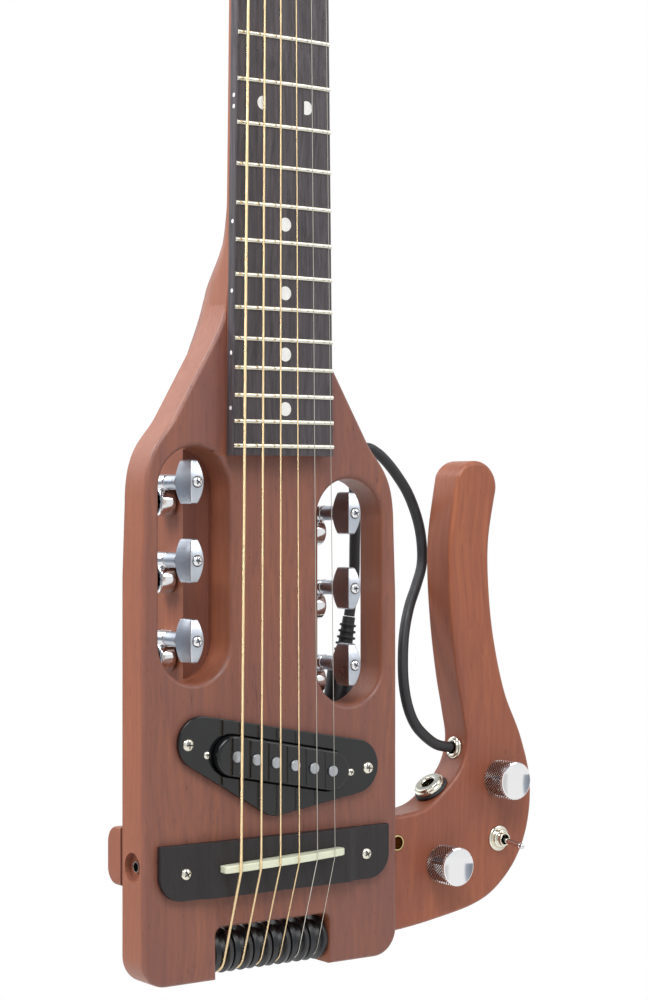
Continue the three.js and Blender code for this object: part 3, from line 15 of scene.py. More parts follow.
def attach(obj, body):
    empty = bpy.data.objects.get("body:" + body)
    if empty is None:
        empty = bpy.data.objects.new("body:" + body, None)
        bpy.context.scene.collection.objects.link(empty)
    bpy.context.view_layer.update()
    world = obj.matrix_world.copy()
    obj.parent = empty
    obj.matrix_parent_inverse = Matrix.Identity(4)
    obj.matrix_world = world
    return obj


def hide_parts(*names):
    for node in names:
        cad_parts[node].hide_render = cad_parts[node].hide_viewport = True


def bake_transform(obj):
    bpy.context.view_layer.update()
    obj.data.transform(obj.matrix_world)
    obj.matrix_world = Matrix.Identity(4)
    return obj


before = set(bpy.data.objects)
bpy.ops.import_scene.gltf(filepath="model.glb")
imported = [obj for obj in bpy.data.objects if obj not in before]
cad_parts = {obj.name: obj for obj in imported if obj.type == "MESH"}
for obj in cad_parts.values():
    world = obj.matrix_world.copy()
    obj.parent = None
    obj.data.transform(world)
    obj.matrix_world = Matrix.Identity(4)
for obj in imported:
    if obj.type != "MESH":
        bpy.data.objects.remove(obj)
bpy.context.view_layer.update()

log = logging.getLogger("travel_guitar")

MM = 0.001
WHITE = (1.0, 1.0, 1.0, 1.0)
Point2 = tuple[float, float]
Point3 = tuple[float, float, float]
Ring = list[Vector]


class Body(str, Enum):
    """The moving bodies that pieces ride on."""

    MAIN = "body_and_neck"
    REST = "rest"
    VOLUME = "volume_knob"
    TONE = "tone_knob"
    LEVER = "switch_lever"


class Side(Enum):
    """The two sides of the guitar, with the sign of X."""

    BASS = -1
    TREBLE = 1


def srgb(code: str) -> tuple[float, float, float, float]:
    """Turns a hex colour into a linear RGBA value.

    Args:
        code: the colour as #rrggbb.

    Returns:
        Linear red, green, blue and an alpha of 1.
    """
    parts = [int(code[i : i + 2], 16) / 255 for i in (1, 3, 5)]
    linear = [p / 12.92 if p <= 0.04045 else ((p + 0.055) / 1.055) ** 2.4 for p in parts]
    return (linear[0], linear[1], linear[2], 1.0)


# Outlines and solids


def arc(cx: float, cz: float, r: float, start: float, end: float, count: int) -> list[Point2]:
    """Returns points along an arc, both ends included."""
    turns = [start + (end - start) * k / count for k in range(count + 1)]
    return [(cx + r * math.cos(a), cz + r * math.sin(a)) for a in turns]


def bezier(a: Point2, b: Point2, c: Point2, d: Point2, count: int = 24) -> list[Point2]:
    """Returns points along a cubic curve, without its first point."""
    out = []
    for k in range(1, count + 1):
        t = k / count
        s = 1 - t
        weights = (s**3, 3 * s * s * t, 3 * s * t * t, t**3)
        out.append(tuple(sum(w * p[i] for w, p in zip(weights, (a, b, c, d))) for i in (0, 1)))
    return out


def bow(a: Point2, pull: Point2, d: Point2, count: int = 16) -> list[Point2]:
    """Returns points along a quadratic curve, without its first point."""
    out = []
    for k in range(1, count + 1):
        t = k / count
        s = 1 - t
        out.append(tuple(s * s * a[i] + 2 * s * t * pull[i] + t * t * d[i] for i in (0, 1)))
    return out


def lens(near: Point2, far: Point2, middle: float, half: float) -> list[Point2]:
    """Returns the outline of a lens.

    Args:
        near: where its near edge ends and where that edge's curve is pulled to.
        far: the same for its far edge.
        middle: the height of its middle.
        half: half its height.

    Returns:
        The outline's points, counter-clockwise.
    """
    low, high = middle - half, middle + half
    right = bow((far[0], low), (far[1], middle), (far[0], high), 28)
    left = bow((near[0], high), (near[1], middle), (near[0], low), 28)
    return [(near[0], low), (far[0], low), *right, (near[0], high), *left]


def spline(points: Sequence[Sequence[float]], per_span: int = 8) -> list[tuple[float, ...]]:
    """Returns points along a Catmull-Rom spline through the given ones, its first point left out."""
    out: list[tuple[float, ...]] = []
    last = len(points) - 1
    for i in range(last):
        p0, p1 = points[max(i - 1, 0)], points[i]
        p2, p3 = points[i + 1], points[min(i + 2, last)]
        for k in range(1, per_span + 1):
            t = k / per_span
            out.append(tuple(catmull(*along, t) for along in zip(p0, p1, p2, p3)))
    return out


def catmull(a: float, b: float, c: float, d: float, t: float) -> float:
    """Returns one coordinate of a uniform Catmull-Rom span from b to c."""
    v0, v1 = (c - a) / 2, (d - b) / 2
    return (2 * b - 2 * c + v0 + v1) * t**3 + (-3 * b + 3 * c - 2 * v0 - v1) * t**2 + v0 * t + b


def belt(circles: Sequence[Point3], step: float = 7.5) -> list[Point2]:
    """Returns the outline of a belt round circles that are given counter-clockwise.

    Args:
        circles: centre and radius of each circle.
        step: degrees between points on an arc.

    Returns:
        The outline's points, counter-clockwise.
    """
    out: list[Point2] = []
    count = len(circles)
    for i, circle in enumerate(circles):
        start = tangent(circles[i - 1], circle)
        end = tangent(circle, circles[(i + 1) % count])
        while end < start:
            end += 2 * math.pi
        steps = max(2, round(math.degrees(end - start) / step))
        out += arc(*circle, start, end, steps)
    return out


def tangent(first: Point3, second: Point3) -> float:
    """Returns the angle, from either centre, of the outer tangent that has both circles on its left."""
    dx, dz = second[0] - first[0], second[1] - first[1]
    lean = math.asin((first[2] - second[2]) / math.hypot(dx, dz))
    return math.atan2(dz, dx) - math.pi / 2 + lean


def rounded(lo_x: float, hi_x: float, lo_z: float, hi_z: float, r: float) -> list[Point2]:
    """Returns the outline of a rectangle with round corners."""
    corners = ((lo_x, lo_z), (hi_x, lo_z), (hi_x, hi_z), (lo_x, hi_z))
    shifts = ((r, r), (-r, r), (-r, -r), (r, -r))
    return belt([(x + dx, z + dz, r) for (x, z), (dx, dz) in zip(corners, shifts)])


def oblong(cx: float, cz: float, length: float, width: float, slope: float = 0.0) -> list[Point2]:
    """Returns the outline of a slot with round ends, its long way at a slope to X."""
    run = (length - width) / 2
    dx, dz = run * math.cos(slope), run * math.sin(slope)
    return belt([(cx + dx, cz + dz, width / 2), (cx - dx, cz - dz, width / 2)])


def area(loop: Sequence[Point2]) -> float:
    """Returns the signed area of a loop, positive if it is counter-clockwise."""
    return sum(a[0] * b[1] - b[0] * a[1] for a, b in zip(loop, [*loop[1:], loop[0]])) / 2


def tidy_loop(loop: Sequence[Point2], least: float = 0.02) -> list[Point2]:
    """Returns a loop without points that lie on the one before them."""
    out: list[Point2] = []
    for p in loop:
        if not out or math.dist(p, out[-1]) > least:
            out.append(p)
    if math.dist(out[0], out[-1]) <= least:
        out.pop()
    return out


def inset(loop: Sequence[Point2], distance: float) -> list[Point2]:
    """Moves each point of a loop to its left, along the bisector of its two edges.

    Args:
        loop: the points, with the solid on their left.
        distance: how far the edges move.

    Returns:
        The moved points, as many as before.
    """
    if distance == 0:
        return list(loop)
    p = np.array(loop)
    before, after = p - np.roll(p, 1, 0), np.roll(p, -1, 0) - p
    before /= np.linalg.norm(before, axis=1, keepdims=True)
    after /= np.linalg.norm(after, axis=1, keepdims=True)
    left = np.stack([-(before + after)[:, 1], (before + after)[:, 0]], 1)
    left /= np.linalg.norm(left, axis=1, keepdims=True)
    lean = np.stack([-before[:, 1], before[:, 0]], 1)
    scale = 1 / np.clip((left * lean).sum(1, keepdims=True), 0.5, 1)
    return [tuple(q) for q in p + left * scale * distance]


def plate_mesh(
    loops: Sequence[Sequence[Point2]],
    low: float,
    high: float,
    radii: Sequence[float] = (0.0,),
    steps: int = 5,
    sharp_back: bool = False,
) -> Mesh:
    """Extrudes an outline with holes between two depths, with its edges rounded over.

    Args:
        loops: the outer loop, then any holes, in X and Z.
        low: the front face's depth along Y.
        high: the back face's depth.
        radii: the roundover of each loop; the last one serves the loops after it.
        steps: faces across a roundover.
        sharp_back: whether the back edges stay square.

    Returns:
        A closed mesh in millimetres.
    """
    verts: list[Point3] = []
    faces: list[tuple[int, ...]] = []
    caps: list[list[list[int]]] = [[], []]
    for number, raw in enumerate(loops):
        loop = tidy_loop(raw)
        if (area(loop) > 0) != (number == 0):
            loop.reverse()
        r = radii[min(number, len(radii) - 1)]
        turns = [math.pi / 2 * k / steps for k in range(steps + 1)] if r > 0 else [math.pi / 2]
        stations = [(r * (1 - math.sin(a)), low + r * (1 - math.cos(a))) for a in turns]
        back = [(i, low + high - y) for i, y in reversed(stations)]
        stations += [(0.0, high)] if sharp_back else back
        count = len(loop)
        rings = []
        for distance, y in stations:
            rings.append(len(verts))
            verts += [(x, y, z) for x, z in inset(loop, distance)]
        for a, b in zip(rings, rings[1:]):
            faces += [(a + i, a + (i + 1) % count, b + (i + 1) % count, b + i) for i in range(count)]
        caps[0].append([rings[0] + i for i in range(count)])
        caps[1].append([rings[-1] + i for i in range(count)])
    for side, cap in enumerate(caps):
        flat = [i for ring in cap for i in ring]
        outline = [[Vector((verts[i][0], verts[i][2], 0)) for i in ring] for ring in cap]
        for tri in tessellate_polygon(outline):
            faces.append(tuple(flat[i] for i in (tri if side else reversed(tri))))
    return mesh_from(verts, faces)


def mesh_from(verts: Iterable[Sequence[float]], faces: Iterable[Sequence[int]]) -> Mesh:
    """Makes a closed mesh whose faces point outwards."""
    mesh = bpy.data.meshes.new("solid")
    mesh.from_pydata([tuple(v) for v in verts], [], [tuple(f) for f in faces])
    face_out(mesh)
    return mesh


def face_out(mesh: Mesh) -> None:
    """Merges a mesh's doubles and turns its faces outwards."""
    work = bmesh.new()
    work.from_mesh(mesh)
    bmesh.ops.remove_doubles(work, verts=work.verts, dist=1e-5)
    bmesh.ops.dissolve_degenerate(work, edges=work.edges, dist=1e-6)
    bmesh.ops.recalc_face_normals(work, faces=work.faces)
    work.to_mesh(mesh)
    work.free()


def block_mesh(lo: Sequence[float], hi: Sequence[float]) -> Mesh:
    """Makes a cutter between two corners."""
    corners = [(x, y, z) for x in (lo[0], hi[0]) for y in (lo[1], hi[1]) for z in (lo[2], hi[2])]
    faces = [(0, 1, 3, 2), (4, 6, 7, 5), (0, 4, 5, 1), (2, 3, 7, 6), (0, 2, 6, 4), (1, 5, 7, 3)]
    return mesh_from(corners, faces)


def turned_mesh(
    profile: Sequence[Point2],
    start: Sequence[float],
    direction: Sequence[float],
    sides: int = 48,
) -> Mesh:
    """Revolves pairs of radius and distance about a line.

    Args:
        profile: radius and distance along the line; a closed ring of pairs makes a tube.
        start: a point on the line.
        direction: the way the line runs.
        sides: faces around.

    Returns:
        A closed mesh in millimetres.
    """
    turn = Vector((0, 0, 1)).rotation_difference(Vector(direction).normalized())
    base = Vector(start)
    verts: list[Vector] = []
    rows: list[list[int]] = []
    for r, along in profile:
        if abs(r) < 1e-6:
            rows.append([len(verts)] * sides)
            verts.append(base + turn @ Vector((0, 0, along)))
            continue
        rows.append(list(range(len(verts), len(verts) + sides)))
        for k in range(sides):
            a = 2 * math.pi * k / sides
            verts.append(base + turn @ Vector((r * math.cos(a), r * math.sin(a), along)))
    faces = []
    for low, high in zip(rows, rows[1:]):
        for k in range(sides):
            n = (k + 1) % sides
            ring = list(dict.fromkeys((low[k], low[n], high[n], high[k])))
            if len(ring) > 2:
                faces.append(ring)
    return mesh_from(verts, faces)


def soften(profile: Sequence[Point2], r: float, steps: int = 3) -> list[Point2]:
    """Rounds the inner corners of a profile.

    Args:
        profile: pairs of radius and distance.
        r: the radius of each round, less where a side is short.
        steps: faces across a round.

    Returns:
        The profile with an arc at each corner but its two ends.
    """
    out = [tuple(profile[0])]
    for a, b, c in zip(profile, profile[1:], profile[2:]):
        p, q, s = Vector(a), Vector(b), Vector(c)
        reach = min(r, (p - q).length / 2.05, (s - q).length / 2.05)
        first, last = q + (p - q).normalized() * reach, q + (s - q).normalized() * reach
        out += [tuple(first), *bow(tuple(first), tuple(q), tuple(last), steps)]
    out.append(tuple(profile[-1]))
    return out


def loft_mesh(rings: Sequence[Ring]) -> Mesh:
    """Skins rings of equally many points and closes both ends."""
    count = len(rings[0])
    verts = [p for ring in rings for p in ring]
    faces: list[Sequence[int]] = []
    for a in range(0, (len(rings) - 1) * count, count):
        faces += [(a + i, a + (i + 1) % count, a + count + (i + 1) % count, a + count + i) for i in range(count)]
    faces.append(range(count))
    faces.append(range((len(rings) - 1) * count, len(rings) * count))
    return mesh_from(verts, faces)


def tube_mesh(points: Sequence[Vector], radii: Sequence[float], sides: int = 12) -> Mesh:
    """Makes a round tube along points, with a UV map that runs round and along it in millimetres."""
    rings: list[Ring] = []
    across = Vector((1, 0, 0))
    for i, point in enumerate(points):
        along = (points[min(i + 1, len(points) - 1)] - points[max(i - 1, 0)]).normalized()
        across = (across - along * across.dot(along)).normalized()
        up = along.cross(across)
        turns = [2 * math.pi * k / sides for k in range(sides)]
        rings.append([point + (across * math.cos(a) + up * math.sin(a)) * radii[i] for a in turns])
    mesh = loft_mesh(rings)
    lengths = np.cumsum([0.0] + [(b - a).length for a, b in zip(points, points[1:])])
    uv = mesh.uv_layers.new(name="along")
    for poly in mesh.polygons:
        seam = any(mesh.loops[loop].vertex_index % sides == sides - 1 for loop in poly.loop_indices)
        for loop in poly.loop_indices:
            row, k = divmod(mesh.loops[loop].vertex_index, sides)
            wrap = 1.0 if seam and k == 0 else 0.0
            uv.data[loop].uv = (k / sides + wrap, lengths[min(row, len(lengths) - 1)])
    return mesh


def linked(name: str, data: Mesh | bpy.types.Camera | bpy.types.Light) -> Object:
    """Makes an object in the scene."""
    item = bpy.data.objects.new(name, data)
    bpy.context.scene.collection.objects.link(item)
    return item


def evaluated(item: Object) -> Mesh:
    """Returns a copy of an object's mesh with its modifiers applied."""
    return bpy.data.meshes.new_from_object(item.evaluated_get(bpy.context.evaluated_depsgraph_get()))


def smooth(mesh: Mesh, crease: float) -> None:
    """Shades a mesh smooth but for edges that turn by more degrees than the crease."""
    mesh.polygons.foreach_set("use_smooth", [True] * len(mesh.polygons))
    mesh.set_sharp_from_angle(angle=math.radians(crease))


@dataclass
class Solid:
    """A closed mesh, in millimetres, that others are joined to or cut from."""

    mesh: Mesh

    def _with(self, operation: str, others: Sequence[Mesh]) -> "Solid":
        """Applies one boolean operation after another and returns the solid itself."""
        for other in others:
            work, tool = linked("work", self.mesh), linked("tool", other)
            modifier = work.modifiers.new("boolean", "BOOLEAN")
            modifier.operation = operation
            modifier.object = tool
            for solver in ("MANIFOLD", "EXACT"):
                modifier.solver = solver
                done = evaluated(work)
                if len(done.polygons):
                    break
            bpy.data.objects.remove(work)
            bpy.data.objects.remove(tool)
            bpy.data.meshes.remove(self.mesh)
            self.mesh = done
        return self

    def cut(self, *others: Mesh) -> "Solid":
        """Takes the others away."""
        return self._with("DIFFERENCE", others)

    def join(self, *others: Mesh) -> "Solid":
        """Joins the others on."""
        return self._with("UNION", others)

    def keep(self, *others: Mesh) -> "Solid":
        """Keeps what lies inside the others."""
        return self._with("INTERSECT", others)


def dress(
    name: str,
    mesh: Mesh,
    body: Body | str,
    material: Material,
    replaces: Sequence[str] = (),
    crease: float = 32.0,
) -> Object:
    """Places a finished mesh in the scene as a piece of the guitar.

    Args:
        name: the piece's name.
        mesh: its closed mesh, in millimetres.
        body: the body that it rides on.
        material: its finish.
        replaces: the frame's nodes that it stands for.
        crease: edges that turn by more degrees than this stay sharp.

    Returns:
        The piece.
    """
    mesh.transform(Matrix.Scale(MM, 4))
    mesh.name = name
    mesh.materials.clear()
    mesh.materials.append(material)
    smooth(mesh, crease)
    piece = linked(name, mesh)
    weighted = piece.modifiers.new("weighted", "WEIGHTED_NORMAL")
    weighted.keep_sharp = True
    weighted.weight = 80
    done = evaluated(piece)
    piece.modifiers.clear()
    piece.data = done
    done.name = name
    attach(piece, body.value if isinstance(body, Body) else body)
    if replaces:
        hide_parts(*replaces)
    log.info("%s: %d faces on %s", name, len(done.polygons), body)
    return piece


# Node trees


class Value:
    """A node's output to reckon with: each operator adds a Math node to its tree."""

    def __init__(self, graph: "Graph", socket: NodeSocket) -> None:
        """Takes up an output of a tree."""
        self.graph, self.socket = graph, socket

    def __add__(self, other: object) -> "Value":
        """Returns the sum."""
        return self.graph.math("ADD", self, other)

    def __sub__(self, other: object) -> "Value":
        """Returns the difference."""
        return self.graph.math("SUBTRACT", self, other)

    def __rsub__(self, other: object) -> "Value":
        """Returns the difference from a number."""
        return self.graph.math("SUBTRACT", other, self)

    def __mul__(self, other: object) -> "Value":
        """Returns the product."""
        return self.graph.math("MULTIPLY", self, other)

    def __truediv__(self, other: object) -> "Value":
        """Returns the quotient."""
        return self.graph.math("DIVIDE", self, other)

    def __abs__(self) -> "Value":
        """Returns the size without the sign."""
        return self.graph.math("ABSOLUTE", self)


class Graph:
    """A node tree, with short ways to add the nodes that finishes and shapes are made of."""

    def __init__(self, tree: NodeTree) -> None:
        """Takes up a tree."""
        self.tree = tree

    def feed(self, item: Node, values: dict) -> None:
        """Gives a node's inputs, by name or number, constants or other nodes' outputs."""
        for key, value in values.items():
            if isinstance(value, Value):
                self.tree.links.new(value.socket, item.inputs[key])
            else:
                item.inputs[key].default_value = value

    def node(self, kind: str, values: dict | None = None, **settings: object) -> Node:
        """Adds a node.

        Args:
            kind: the node's type.
            values: for each input, by name or number, a constant or another node's output.
            settings: the node's own settings.

        Returns:
            The node.
        """
        item = self.tree.nodes.new(kind)
        for key, value in settings.items():
            setattr(item, key, value)
        self.feed(item, values or {})
        return item

    def get(self, kind: str, values: dict | None = None, output: int | str = 0, **settings: object) -> Value:
        """Adds a node and returns one of its outputs."""
        return Value(self, self.node(kind, values, **settings).outputs[output])

    def read(self, item: Node) -> dict[str, Value]:
        """Returns a node's outputs by name."""
        return {socket.name: Value(self, socket) for socket in item.outputs}

    def math(self, operation: str, *values: object) -> Value:
        """Adds a Math node and returns its result."""
        return self.get("ShaderNodeMath", dict(enumerate(values)), operation=operation)

    def vector(self, operation: str, *values: object) -> Value:
        """Adds a Vector Math node and returns its result."""
        return self.get("ShaderNodeVectorMath", dict(enumerate(values)), operation=operation)

    def noise(self, place: Value, scale: object, detail: float, output: int | str = 0, **more: float) -> Value:
        """Adds a noise texture and returns one of its outputs."""
        return self.get("ShaderNodeTexNoise", {"Vector": place, "Scale": scale, "Detail": detail, **more}, output)

    def ramp(self, value: Value, low: object, high: object, first: object = 0.0, last: object = 1.0) -> Value:
        """Maps a value from one range to another and returns the result."""
        return self.get("ShaderNodeMapRange", {0: value, 1: low, 2: high, 3: first, 4: last})

    def mix(self, share: Value, first: object, second: object) -> Value:
        """Mixes two colours, each an output or a hex colour, and returns the result."""
        colours = [srgb(c) if isinstance(c, str) else c for c in (first, second)]
        return self.get("ShaderNodeMix", {0: share, 6: colours[0], 7: colours[1]}, 2, data_type="RGBA")

    def split(self, vector: Value) -> list[Value]:
        """Returns a vector's three parts."""
        return [Value(self, part) for part in self.node("ShaderNodeSeparateXYZ", {0: vector}).outputs]

    def join(self, *parts: object) -> Value:
        """Returns the vector of three parts."""
        return self.get("ShaderNodeCombineXYZ", dict(enumerate(parts)))


class Group(Graph):
    """A node group with named sockets, and its inputs' values."""

    def __init__(self, name: str, kind: str, inputs: dict[str, Sequence[str]]) -> None:
        """Makes the group with its inputs.

        Args:
            name: the group's name.
            kind: ShaderNodeTree or GeometryNodeTree.
            inputs: for each type of socket, the inputs' names.
        """
        super().__init__(bpy.data.node_groups.new(name, kind))
        for socket, titles in inputs.items():
            for title in titles:
                self.tree.interface.new_socket(title, in_out="INPUT", socket_type=f"NodeSocket{socket}")
        self.given = self.read(self.node("NodeGroupInput"))

    def give(self, values: dict[str, Value], socket: str = "Float") -> NodeTree:
        """Ends the group in named outputs of one type and returns its tree."""
        for title in values:
            self.tree.interface.new_socket(title, in_out="OUTPUT", socket_type=f"NodeSocket{socket}")
        self.node("NodeGroupOutput", values)
        return self.tree

    def shape(self, geometry: Value) -> NodeTree:
        """Ends a geometry tree in Realize Instances and Set Material and returns it."""
        real = self.get("GeometryNodeRealizeInstances", {0: geometry})
        done = self.get("GeometryNodeSetMaterial", {"Geometry": real, "Material": self.given["Finish"]})
        return self.give({"Geometry": done}, "Geometry")


def grain_group() -> NodeTree:
    """Builds the wood grain that every wooden finish shares."""
    tree = Group("wood_grain", "ShaderNodeTree", {"Vector": ["Vector"], "Float": ["Fineness", "Along", "Pores"]})
    place, fine = tree.given["Vector"], tree.given["Fineness"]
    stretched = tree.vector("MULTIPLY", place, tree.join(1.0, 1.0, tree.given["Along"]))
    wander = tree.noise(place, 14.0, 1.0, "Color")
    shift = tree.get("ShaderNodeVectorMath", {0: wander, "Scale": 0.012}, operation="SCALE")
    bent = tree.vector("ADD", stretched, shift)
    streak = tree.noise(bent, fine, 4.0, Roughness=0.62)
    edge = tree.ramp(tree.given["Pores"], 0.0, 1.0, 0.78, 0.56)
    pore = tree.ramp(tree.noise(bent, fine * 4.6, 1.5), edge, edge + 0.1)
    cloud = tree.noise(bent, fine * 0.11, 3.0)
    mottle = tree.noise(tree.vector("MULTIPLY", place, (1.0, 1.0, 0.4)), fine * 0.05, 3.5)
    height = streak * 0.35 - pore
    return tree.give({"Streak": streak, "Pore": pore, "Cloud": cloud, "Mottle": mottle, "Height": height})


def wear_group() -> NodeTree:
    """Builds the smudges and fine scratches that every smooth finish shares."""
    tree = Group("handling_wear", "ShaderNodeTree", {"Vector": ["Vector"], "Float": ["Size", "Scratches"]})
    place, size = tree.given["Vector"], tree.given["Size"]
    smudge = tree.noise(place, size, 4.0)
    turned = tree.get(
        "ShaderNodeMapping", {"Vector": place, "Rotation": (0.4, 0.9, 0.2), "Scale": (1.0, 0.03, 1.0)}
    )
    scratch = tree.ramp(tree.noise(turned, size * 30.0, 2.0), 0.6, 0.72) * tree.given["Scratches"]
    return tree.give({"Smudge": smudge, "Scratch": scratch, "Height": smudge * 0.3 - scratch})


GRAIN = grain_group()
WEAR = wear_group()


class Surface(Graph):
    """A material with a Principled shader, and the point on its piece in the piece's own space."""

    def __init__(self, name: str) -> None:
        """Makes the material."""
        self.material = bpy.data.materials.new(name)
        self.material.use_nodes = True
        super().__init__(self.material.node_tree)
        self.shader = self.tree.nodes["Principled BSDF"]
        self.place = self.get("ShaderNodeTexCoord", output="Object")

    def shared(self, group: NodeTree, **values: object) -> dict[str, Value]:
        """Places a shared group on the piece and returns its outputs by name."""
        return self.read(self.node("ShaderNodeGroup", {"Vector": self.place, **values}, node_tree=group))

    def bump(self, height: Value, depth: float, strength: float = 1.0) -> Value:
        """Turns a height into a normal, its full swing being a depth in metres."""
        return self.get("ShaderNodeBump", {"Height": height, "Distance": depth, "Strength": strength})

    def done(self, values: dict[str, object]) -> Material:
        """Gives the shader its inputs and returns the material."""
        self.feed(self.shader, values)
        return self.material


@dataclass(frozen=True)
class WoodFinish:
    """A stained or oiled wood with streaks, pores and a thin open coat, with painted light and shade on the faces that
    turn sideways.
    """

    name: str
    light: str
    dark: str
    pore: str
    fineness: float = 420.0
    along: float = 0.05
    pores: float = 0.5
    roughness: float = 0.42
    coat: float = 0.25
    coat_roughness: float = 0.35
    depth: float = 0.00006
    mottled: str = "#2e1813"
    mottling: float = 0.0
    # colour painted on sideways faces as the light and shade there
    edge: str = "#a35f3c"
    side_shading_share: float = 0.0
    swing: float = 0.07

    def make(self) -> Material:
        """Builds the material and returns it."""
        on = Surface(self.name)
        grain = on.shared(GRAIN, Fineness=self.fineness, Along=self.along, Pores=self.pores)
        base = on.mix(on.ramp(grain["Streak"], 0.3, 0.7), self.dark, self.light)
        base = on.mix(on.ramp(grain["Cloud"], 0.3, 0.7, 0.0, 0.4), base, self.dark)
        base = on.mix(on.ramp(grain["Mottle"], 0.38, 0.62, 0.0, self.mottling), base, self.mottled)
        # painted light and shade: faces that turn away from front and back take the edge colour, standing in for the
        # lamp light and shade on the sides
        facing = on.split(on.get("ShaderNodeTexCoord", output="Normal"))[1]
        base = on.mix(on.ramp(abs(facing), 0.05, 0.6, self.side_shading_share, 0.0), base, self.edge)
        pores = grain["Pore"] * 0.6
        rough = on.ramp(grain["Streak"], 0.2, 0.8, self.roughness + self.swing, self.roughness - self.swing)
        return on.done({
            "Base Color": on.mix(pores, base, self.pore),
            "Roughness": rough + pores * 0.3,
            "Coat Weight": self.coat,
            "Coat Roughness": self.coat_roughness,
            "Normal": on.bump(grain["Height"], self.depth),
        })


@dataclass(frozen=True)
class MetalFinish:
    """A plated, polished or brushed metal with smudges and fine scratches."""

    name: str
    colour: str
    tint: str
    roughness: float = 0.12
    size: float = 90.0
    scratches: float = 0.25
    depth: float = 0.00001

    def make(self) -> Material:
        """Builds the material and returns it."""
        on = Surface(self.name)
        wear = on.shared(WEAR, Size=self.size, Scratches=self.scratches)
        rough = on.ramp(wear["Smudge"], 0.3, 0.7, self.roughness * 0.7, self.roughness * 1.4)
        return on.done({
            "Base Color": on.mix(on.ramp(wear["Smudge"], 0.3, 0.7), self.colour, self.tint),
            "Roughness": rough + wear["Scratch"] * 0.3,
            "Metallic": 1.0,
            "Normal": on.bump(wear["Height"], self.depth),
        })


@dataclass(frozen=True)
class KnurlFinish:
    """Polished plating whose grooves, lower than the tips round an axis along Y, are painted dark brown as their shade
    and the wood they reflect.
    """

    name: str
    centre: Point2
    colour: str = "#e9e9ea"
    # colour painted into the grooves as their shade and reflected wood
    groove: str = "#573c34"
    tips: float = 0.00882
    bottoms: float = 0.00857
    front: float = -0.0006
    size: float = 90.0

    def make(self) -> Material:
        """Builds the material and returns it."""
        on = Surface(self.name)
        x, y, z = on.split(on.place)
        x, z = x - self.centre[0] * MM, z - self.centre[1] * MM
        radius = on.math("SQRT", x * x + z * z)
        # painted shade: the grooves, below the tips and off the dished top, take the dark brown groove colour in place
        # of the shadow and reflected wood in them
        low = on.ramp(radius, self.bottoms, self.tips, 1.0, 0.0) * on.math("GREATER_THAN", y, self.front)
        wear = on.shared(WEAR, Size=self.size)
        return on.done({
            "Base Color": on.mix(low, self.colour, self.groove),
            "Roughness": on.ramp(wear["Smudge"], 0.3, 0.7, 0.06, 0.12),
            "Metallic": 1.0,
        })


@dataclass(frozen=True)
class MouldedFinish:
    """A moulded, cast or polished non-metal: plastic, rubber, bone or shell."""

    name: str
    colour: str
    tint: str
    roughness: float = 0.4
    coat: float = 0.0
    size: float = 160.0
    scratches: float = 0.1
    texture: float = 900.0
    depth: float = 0.00003
    coat_roughness: float = 0.08

    def make(self) -> Material:
        """Builds the material and returns it."""
        on = Surface(self.name)
        wear = on.shared(WEAR, Size=self.size, Scratches=self.scratches)
        rough = on.ramp(wear["Smudge"], 0.3, 0.7, self.roughness * 0.8, self.roughness * 1.25)
        return on.done({
            "Base Color": on.mix(on.ramp(wear["Smudge"], 0.3, 0.7), self.colour, self.tint),
            "Roughness": rough + wear["Scratch"] * 0.25,
            "Coat Weight": self.coat,
            "Coat Roughness": self.coat_roughness,
            "Normal": on.bump(on.noise(on.place, self.texture, 2.0), self.depth, 0.6),
        })


@dataclass(frozen=True)
class WoundFinish:
    """A wire wound closely round a string's core, read along the piece's own map, with painted shade in the gaps
    between its turns.
    """

    name: str
    colour: str
    # colour painted between the turns as their shade
    gap: str
    pitch: float = 0.42
    lean: float = 1.0
    roughness: float = 0.28
    depth: float = 0.00012

    def make(self) -> Material:
        """Builds the material and returns it."""
        on = Surface(self.name)
        around, along, _ = on.split(on.get("ShaderNodeUVMap", uv_map="along"))
        saw = on.math("FRACT", along / self.pitch + around * self.lean) - 0.5
        wire = on.math("SQRT", 0.2501 - saw * saw) * 2.0
        wear = on.shared(WEAR, Size=60.0, Scratches=0.2)
        # painted shade: the gap colour darkens the valleys between the turns, where shadow falls
        return on.done({
            "Base Color": on.mix(on.ramp(wire, 0.25, 0.75), self.gap, self.colour),
            "Roughness": on.ramp(wear["Smudge"], 0.3, 0.7, self.roughness * 0.8, self.roughness * 1.3),
            "Metallic": 1.0,
            "Normal": on.bump(wire, self.depth),
        })


